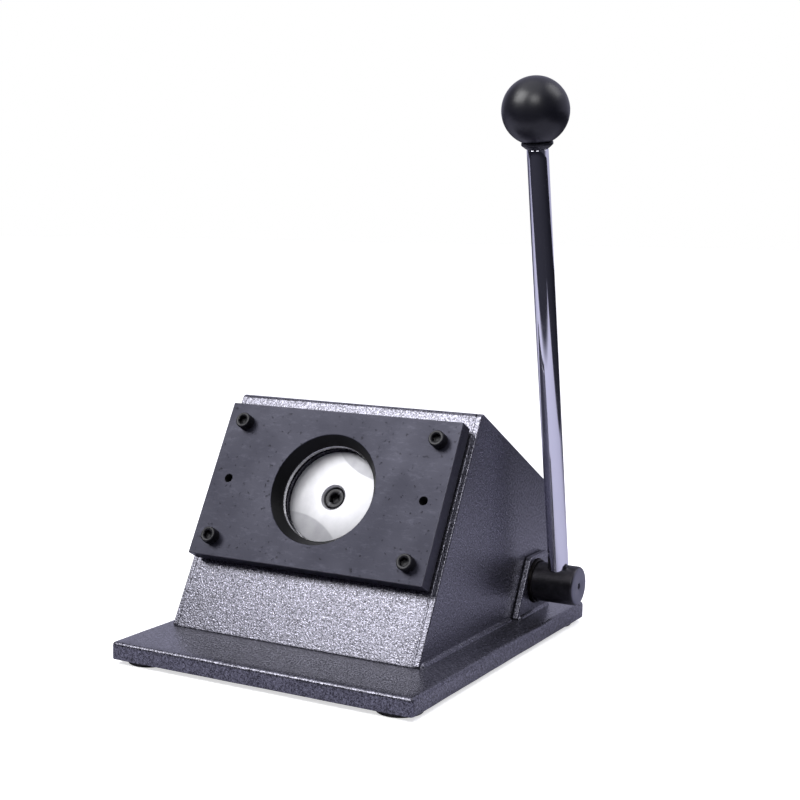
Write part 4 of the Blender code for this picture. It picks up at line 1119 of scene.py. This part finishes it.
def make_spring(layout, finish):
    """The return spring at rest: a smooth helix, with a mesh of its own."""
    cover_rear = -SHEET - GAP - GUIDE_THICKNESS - GAP - GUIDE_COVER_THICKNESS
    shaft = layout.slope.inverted() @ Vector((layout.housing_x, layout.shaft_y, layout.shaft_z))
    flange_front = shaft.z + ROLLER_REST + YOKE_AHEAD_OF_PIN + FLANGE_THICKNESS
    near = cover_rear - GAP - SPRING_WIRE_RADIUS
    far = flange_front + GAP + SPRING_WIRE_RADIUS
    steps = SPRING_TURNS * 40
    sides = 12
    sections = []
    for step in range(steps + 1):
        share = step / steps
        outward = Vector((*polar(1, FULL_TURN * SPRING_TURNS * share), 0))
        centre = outward * SPRING_RADIUS + Vector((0, 0, near + (far - near) * share))
        section = []
        for side in range(sides):
            across, along = polar(SPRING_WIRE_RADIUS, FULL_TURN * side / sides)
            section.append(centre + outward * across + Vector((0, 0, along)))
        sections.append(section)
    spring = place("return_spring_fine", lofted(sections), [finish], layout.slope)
    mount(spring, "frame", "spring_steel", "return_spring")
    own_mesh(spring)


# ---------------------------------------------------------------- shaft and lever

def make_bracket(layout, finish):
    """The bearing bracket on the right side plate, its front edge parallel to the slope."""
    low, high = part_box("bearing_bracket")
    top_front = low.y + (high.z - low.z) * math.cos(SLOPE) / math.sin(SLOPE)
    outline = rounded([(low.y, low.z), (top_front, high.z), (high.y, high.z), (high.y, low.z)],
                      [0, BRACKET_CORNER, BRACKET_CORNER, 0])
    data = prism(outline, low.x, high.x, PLATE_EDGE_RADIUS, 4)
    bracket = place("bearing_bracket_fine", data, [finish], along_x(0))
    below, above = low.x - CUT_MARGIN, high.x + CUT_MARGIN
    radius = layout.bush_radius + GAP
    mouth = radius + 0.3 * MM
    hole = turned([(0, below), (radius, below), (radius, high.x - 0.3 * MM), (mouth, high.x + 0.1 * MM),
                   (mouth, above), (0, above)], 96)
    cut(bracket, [(hole, layout.on_shaft())])
    mount(bracket, "frame", "hammertone_paint", "bearing_bracket")


def make_bushes(layout, finish):
    """The two shaft bushes, chamfered at both ends."""
    inner = SHAFT_RADIUS + RUNNING_GAP
    outer = layout.bush_radius
    edge = 0.3 * MM
    for side in ("left", "right"):
        low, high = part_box(f"bush_{side}")
        length = high.x - low.x
        rings = [(inner + edge, 0), (outer - edge, 0), (outer, edge), (outer, length - edge),
                 (outer - edge, length), (inner + edge, length), (inner, length - edge), (inner, edge)]
        data = turned(rings, 96, closed=True)
        bush = place(f"bush_{side}_fine", data, [finish], layout.on_shaft(low.x))
        mount(bush, "frame", "bronze", f"bush_{side}")


def make_shaft(layout, finish):
    """The drive shaft: chamfered inside, rounded outside, with a centre dimple and the lever's hole."""
    low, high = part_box("drive_shaft")
    length = high.x - low.x
    radius = SHAFT_RADIUS
    chamfer = 1.4 * MM
    rounding = 1.9 * MM
    rings = [(0, 0), (radius - chamfer, 0), (radius, chamfer), (radius, length - rounding)]
    rings += arc((radius - rounding, length - rounding), rounding, 15, 90, 6)
    rings += [(2.6 * MM, length), (2.0 * MM, length - 0.25 * MM), (1.3 * MM, length - 1.2 * MM),
              (0, length - 1.6 * MM)]
    shaft = place("drive_shaft_fine", turned(rings, 128), [finish], layout.on_shaft(low.x))
    cut(shaft, [(cylinder(ROD_RADIUS + GAP, -5 * MM, 20 * MM, 72), layout.lever)])
    mount(shaft, "lever", "dark_steel", "drive_shaft")


def make_rod(layout, finish, collar_low):
    """The chromed lever rod, from its end in the shaft to the stud in the knob."""
    foot = -ROD_BELOW_AXIS
    chamfer = 0.8 * MM
    rod_end = collar_low - GAP
    stud_top = LEVER_LENGTH - KNOB_DEPTH
    rings = [(0, foot), (ROD_RADIUS - chamfer, foot), (ROD_RADIUS, foot + chamfer)]
    bands = 60
    for band in range(bands + 1):
        rings.append((ROD_RADIUS, (collar_low - MM) * band / bands))
    rings += [(ROD_RADIUS - 0.1 * MM, collar_low - 0.6 * MM), (ROD_RADIUS - 0.4 * MM, rod_end),
              (ROD_STUD_RADIUS, rod_end), (ROD_STUD_RADIUS, stud_top), (0, stud_top)]
    rod = place("lever_rod_fine", turned(rings, 128), [finish], layout.lever)
    mount(rod, "lever", "chrome", "lever_rod")


def make_knob_collar(layout, finish, collar_low):
    """The collar under the knob: a cone, then a short straight belt."""
    bore = ROD_STUD_RADIUS + GAP
    top = collar_low + KNOB_COLLAR_HEIGHT - GAP
    belt = collar_low + KNOB_COLLAR_HEIGHT * KNOB_COLLAR_TAPER_SHARE
    edge = 0.3 * MM
    rings = [(bore, collar_low), (KNOB_COLLAR_FOOT - edge, collar_low),
             (KNOB_COLLAR_FOOT, collar_low + edge), (KNOB_COLLAR_RADIUS - 0.15 * MM, belt - edge),
             (KNOB_COLLAR_RADIUS, belt), (KNOB_COLLAR_RADIUS, top - 0.4 * MM),
             (KNOB_COLLAR_RADIUS - 0.4 * MM, top), (bore, top)]
    collar = place("knob_collar_fine", turned(rings, 96, closed=True), [finish], layout.lever)
    mount(collar, "lever", "black_plastic", "knob_collar")


def make_knob(layout, finish, flat):
    """The ball knob with its flat underside and its faint mould line."""
    bore = ROD_STUD_RADIUS + GAP
    bore_end = LEVER_LENGTH - KNOB_DEPTH + GAP
    flat_angle = -math.degrees(math.acos(KNOB_COLLAR_RADIUS / KNOB_RADIUS))
    seam_height = 0.05 * MM
    seam_width = 0.9
    radius = KNOB_RADIUS - seam_height
    steps = 72
    rings = [(0, bore_end), (bore, bore_end), (bore, flat)]
    for step in range(steps):
        degrees = flat_angle + (90 - flat_angle) * step / steps
        seam = seam_height * math.exp(-(degrees / seam_width) ** 2)
        across, along = polar(radius + seam, math.radians(degrees))
        rings.append((across, LEVER_LENGTH + along))
    rings.append((0, LEVER_LENGTH + radius))
    ball = turned(rings, 160)
    ball.transform(Matrix.Rotation(LEVER_LEAN, 4, "X"))
    knob = place("ball_knob_fine", ball, [finish], Matrix.Translation(layout.lever.translation))
    mount(knob, "lever", "black_plastic", "ball_knob")


def make_lever(layout, materials):
    """The rod, the collar and the knob, along the lever's own frame."""
    flat = LEVER_LENGTH - math.sqrt(KNOB_RADIUS ** 2 - KNOB_COLLAR_RADIUS ** 2)
    collar_low = flat - KNOB_COLLAR_HEIGHT
    make_rod(layout, materials["chrome"], collar_low)
    make_knob_collar(layout, materials["plastic"], collar_low)
    make_knob(layout, materials["plastic"], flat)


# ---------------------------------------------------------------- carried-over CAD nodes

def finish_cad_nodes(frame, materials):
    """Worked materials for the CAD pieces that keep their own meshes."""
    finishes = {
        "hammertone_paint": materials["paint"],
        "black_oxide": materials["oxide"],
        "ground_steel": materials["land"],
        "plain_steel": materials["steel"],
        "dark_steel": materials["bar"],
        "chrome": materials["chrome"],
        "black_plastic": materials["plastic"],
        "black_rubber": materials["rubber"],
        "bronze": materials["bronze"],
        "spring_steel": materials["spring"],
    }
    for part in frame["record"]["subparts"]:
        data = frame["nodes"][part["node"]].data
        finish = finishes[part["material_slot"]]
        if not data.materials:
            data.materials.append(finish)
        for index in range(len(data.materials)):
            data.materials[index] = finish


# ---------------------------------------------------------------- studio

def make_floor(finish):
    """A wide, pale floor."""
    shape = bmesh.new()
    bmesh.ops.create_circle(shape, cap_ends=True, radius=FLOOR_RADIUS, segments=96)
    floor = place("studio_floor", finish_mesh(shape), [finish], Matrix.Translation((0, 0, -FLOOR_BELOW)))


def area_light(name, direction, distance, width, power):
    """A square softbox in a direction from the machine, facing it."""
    light = bpy.data.lights.new(name, "AREA")
    light.shape = "RECTANGLE"
    light.size = width
    light.size_y = width
    light.energy = power
    lamp = bpy.data.objects.new(name, light)
    aim = Vector(LIGHTS_AIM)
    lamp.location = aim + Vector(direction).normalized() * distance
    lamp.rotation_euler = (aim - lamp.location).to_track_quat("-Z", "Y").to_euler()
    bpy.context.collection.objects.link(lamp)


def make_lights():
    """Softboxes at the front left, the right rear and the front, and a wide soft sun."""
    area_light("key", (-0.43, -0.58, 0.69), 1.6, 0.85, 17)
    area_light("second", (0.53, 0.35, 0.78), 1.7, 0.8, 6)
    area_light("front", (0.30, -0.72, 0.62), 1.8, 0.7, 8.5)
    lift = bpy.data.lights.new("lift", "SUN")
    lift.energy = 0.70
    lift.angle = math.radians(70)
    lamp = bpy.data.objects.new("lift", lift)
    lamp.rotation_euler = (math.radians(18), math.radians(-14), 0)
    bpy.context.collection.objects.link(lamp)


def make_room():
    """The world: white to the camera, and to every other ray a dim room with a paler rear wall."""
    world = bpy.data.worlds.new("white_studio")
    world.use_nodes = True
    bpy.context.scene.world = world
    tree = world.node_tree
    direction = node(tree, "TexCoord").outputs["Generated"]
    axes = node(tree, "SeparateXYZ", {"Vector": direction})
    wall = spread(tree, axes.outputs["Y"], 0.10, 0.55)
    ceiling = spread(tree, axes.outputs["Z"], 0.55, 0.95)
    room = blend(tree, ceiling, (0.045, 0.045, 0.062), (0.30, 0.30, 0.38))
    shade = blend(tree, wall, room, (0.48, 0.475, 0.62))
    seen = node(tree, "LightPath").outputs["Is Camera Ray"]
    connect(tree, tree.nodes["Background"], {"Color": blend(tree, seen, shade, (1, 1, 1)), "Strength": 1.0})


def make_camera():
    """The camera at its viewing angle."""
    azimuth, elevation = CAMERA_AZIMUTH, CAMERA_ELEVATION
    back = Vector((math.sin(azimuth) * math.cos(elevation), -math.cos(azimuth) * math.cos(elevation),
                   math.sin(elevation)))
    right = Vector((math.cos(azimuth), math.sin(azimuth), 0))
    up = back.cross(right)
    cosine, sine = math.cos(CAMERA_ROLL), math.sin(CAMERA_ROLL)
    across = right * cosine + up * sine
    upward = up * cosine - right * sine
    rotation = Matrix((across, upward, back)).transposed().to_4x4()
    lens = bpy.data.cameras.new("camera")
    lens.lens = CAMERA_LENS
    lens.clip_start = 0.01
    lens.clip_end = 100
    camera = bpy.data.objects.new("camera", lens)
    camera.matrix_world = Matrix.Translation(CAMERA_PLACE) @ rotation
    bpy.context.collection.objects.link(camera)
    bpy.context.scene.camera = camera


# ---------------------------------------------------------------- assembly

def build():
    """Load the frame and dress it."""
    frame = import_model()
    bpy.context.scene.view_settings.view_transform = "Standard"
    make_camera()
    materials = make_materials()
    layout = Layout()
    finish_cad_nodes(frame, materials)
    make_base(materials["paint"])
    make_feet(materials["rubber"], materials["oxide"])
    make_side_plates(layout, materials["paint"])
    make_housing_sheet(layout, materials["paint"])
    make_rear_cover(layout, materials["paint"], materials["oxide"])
    make_welds(layout, materials["paint"])
    make_seams(layout, materials["paint"])
    make_die_plate(layout, materials)
    make_die_screws(layout, materials)
    make_punch(layout, materials)
    make_spring(layout, materials["spring"])
    make_bracket(layout, materials["paint"])
    make_bushes(layout, materials["bronze"])
    make_shaft(layout, materials["bar"])
    make_lever(layout, materials)
    make_floor(floor_card())
    make_lights()
    make_room()


build()
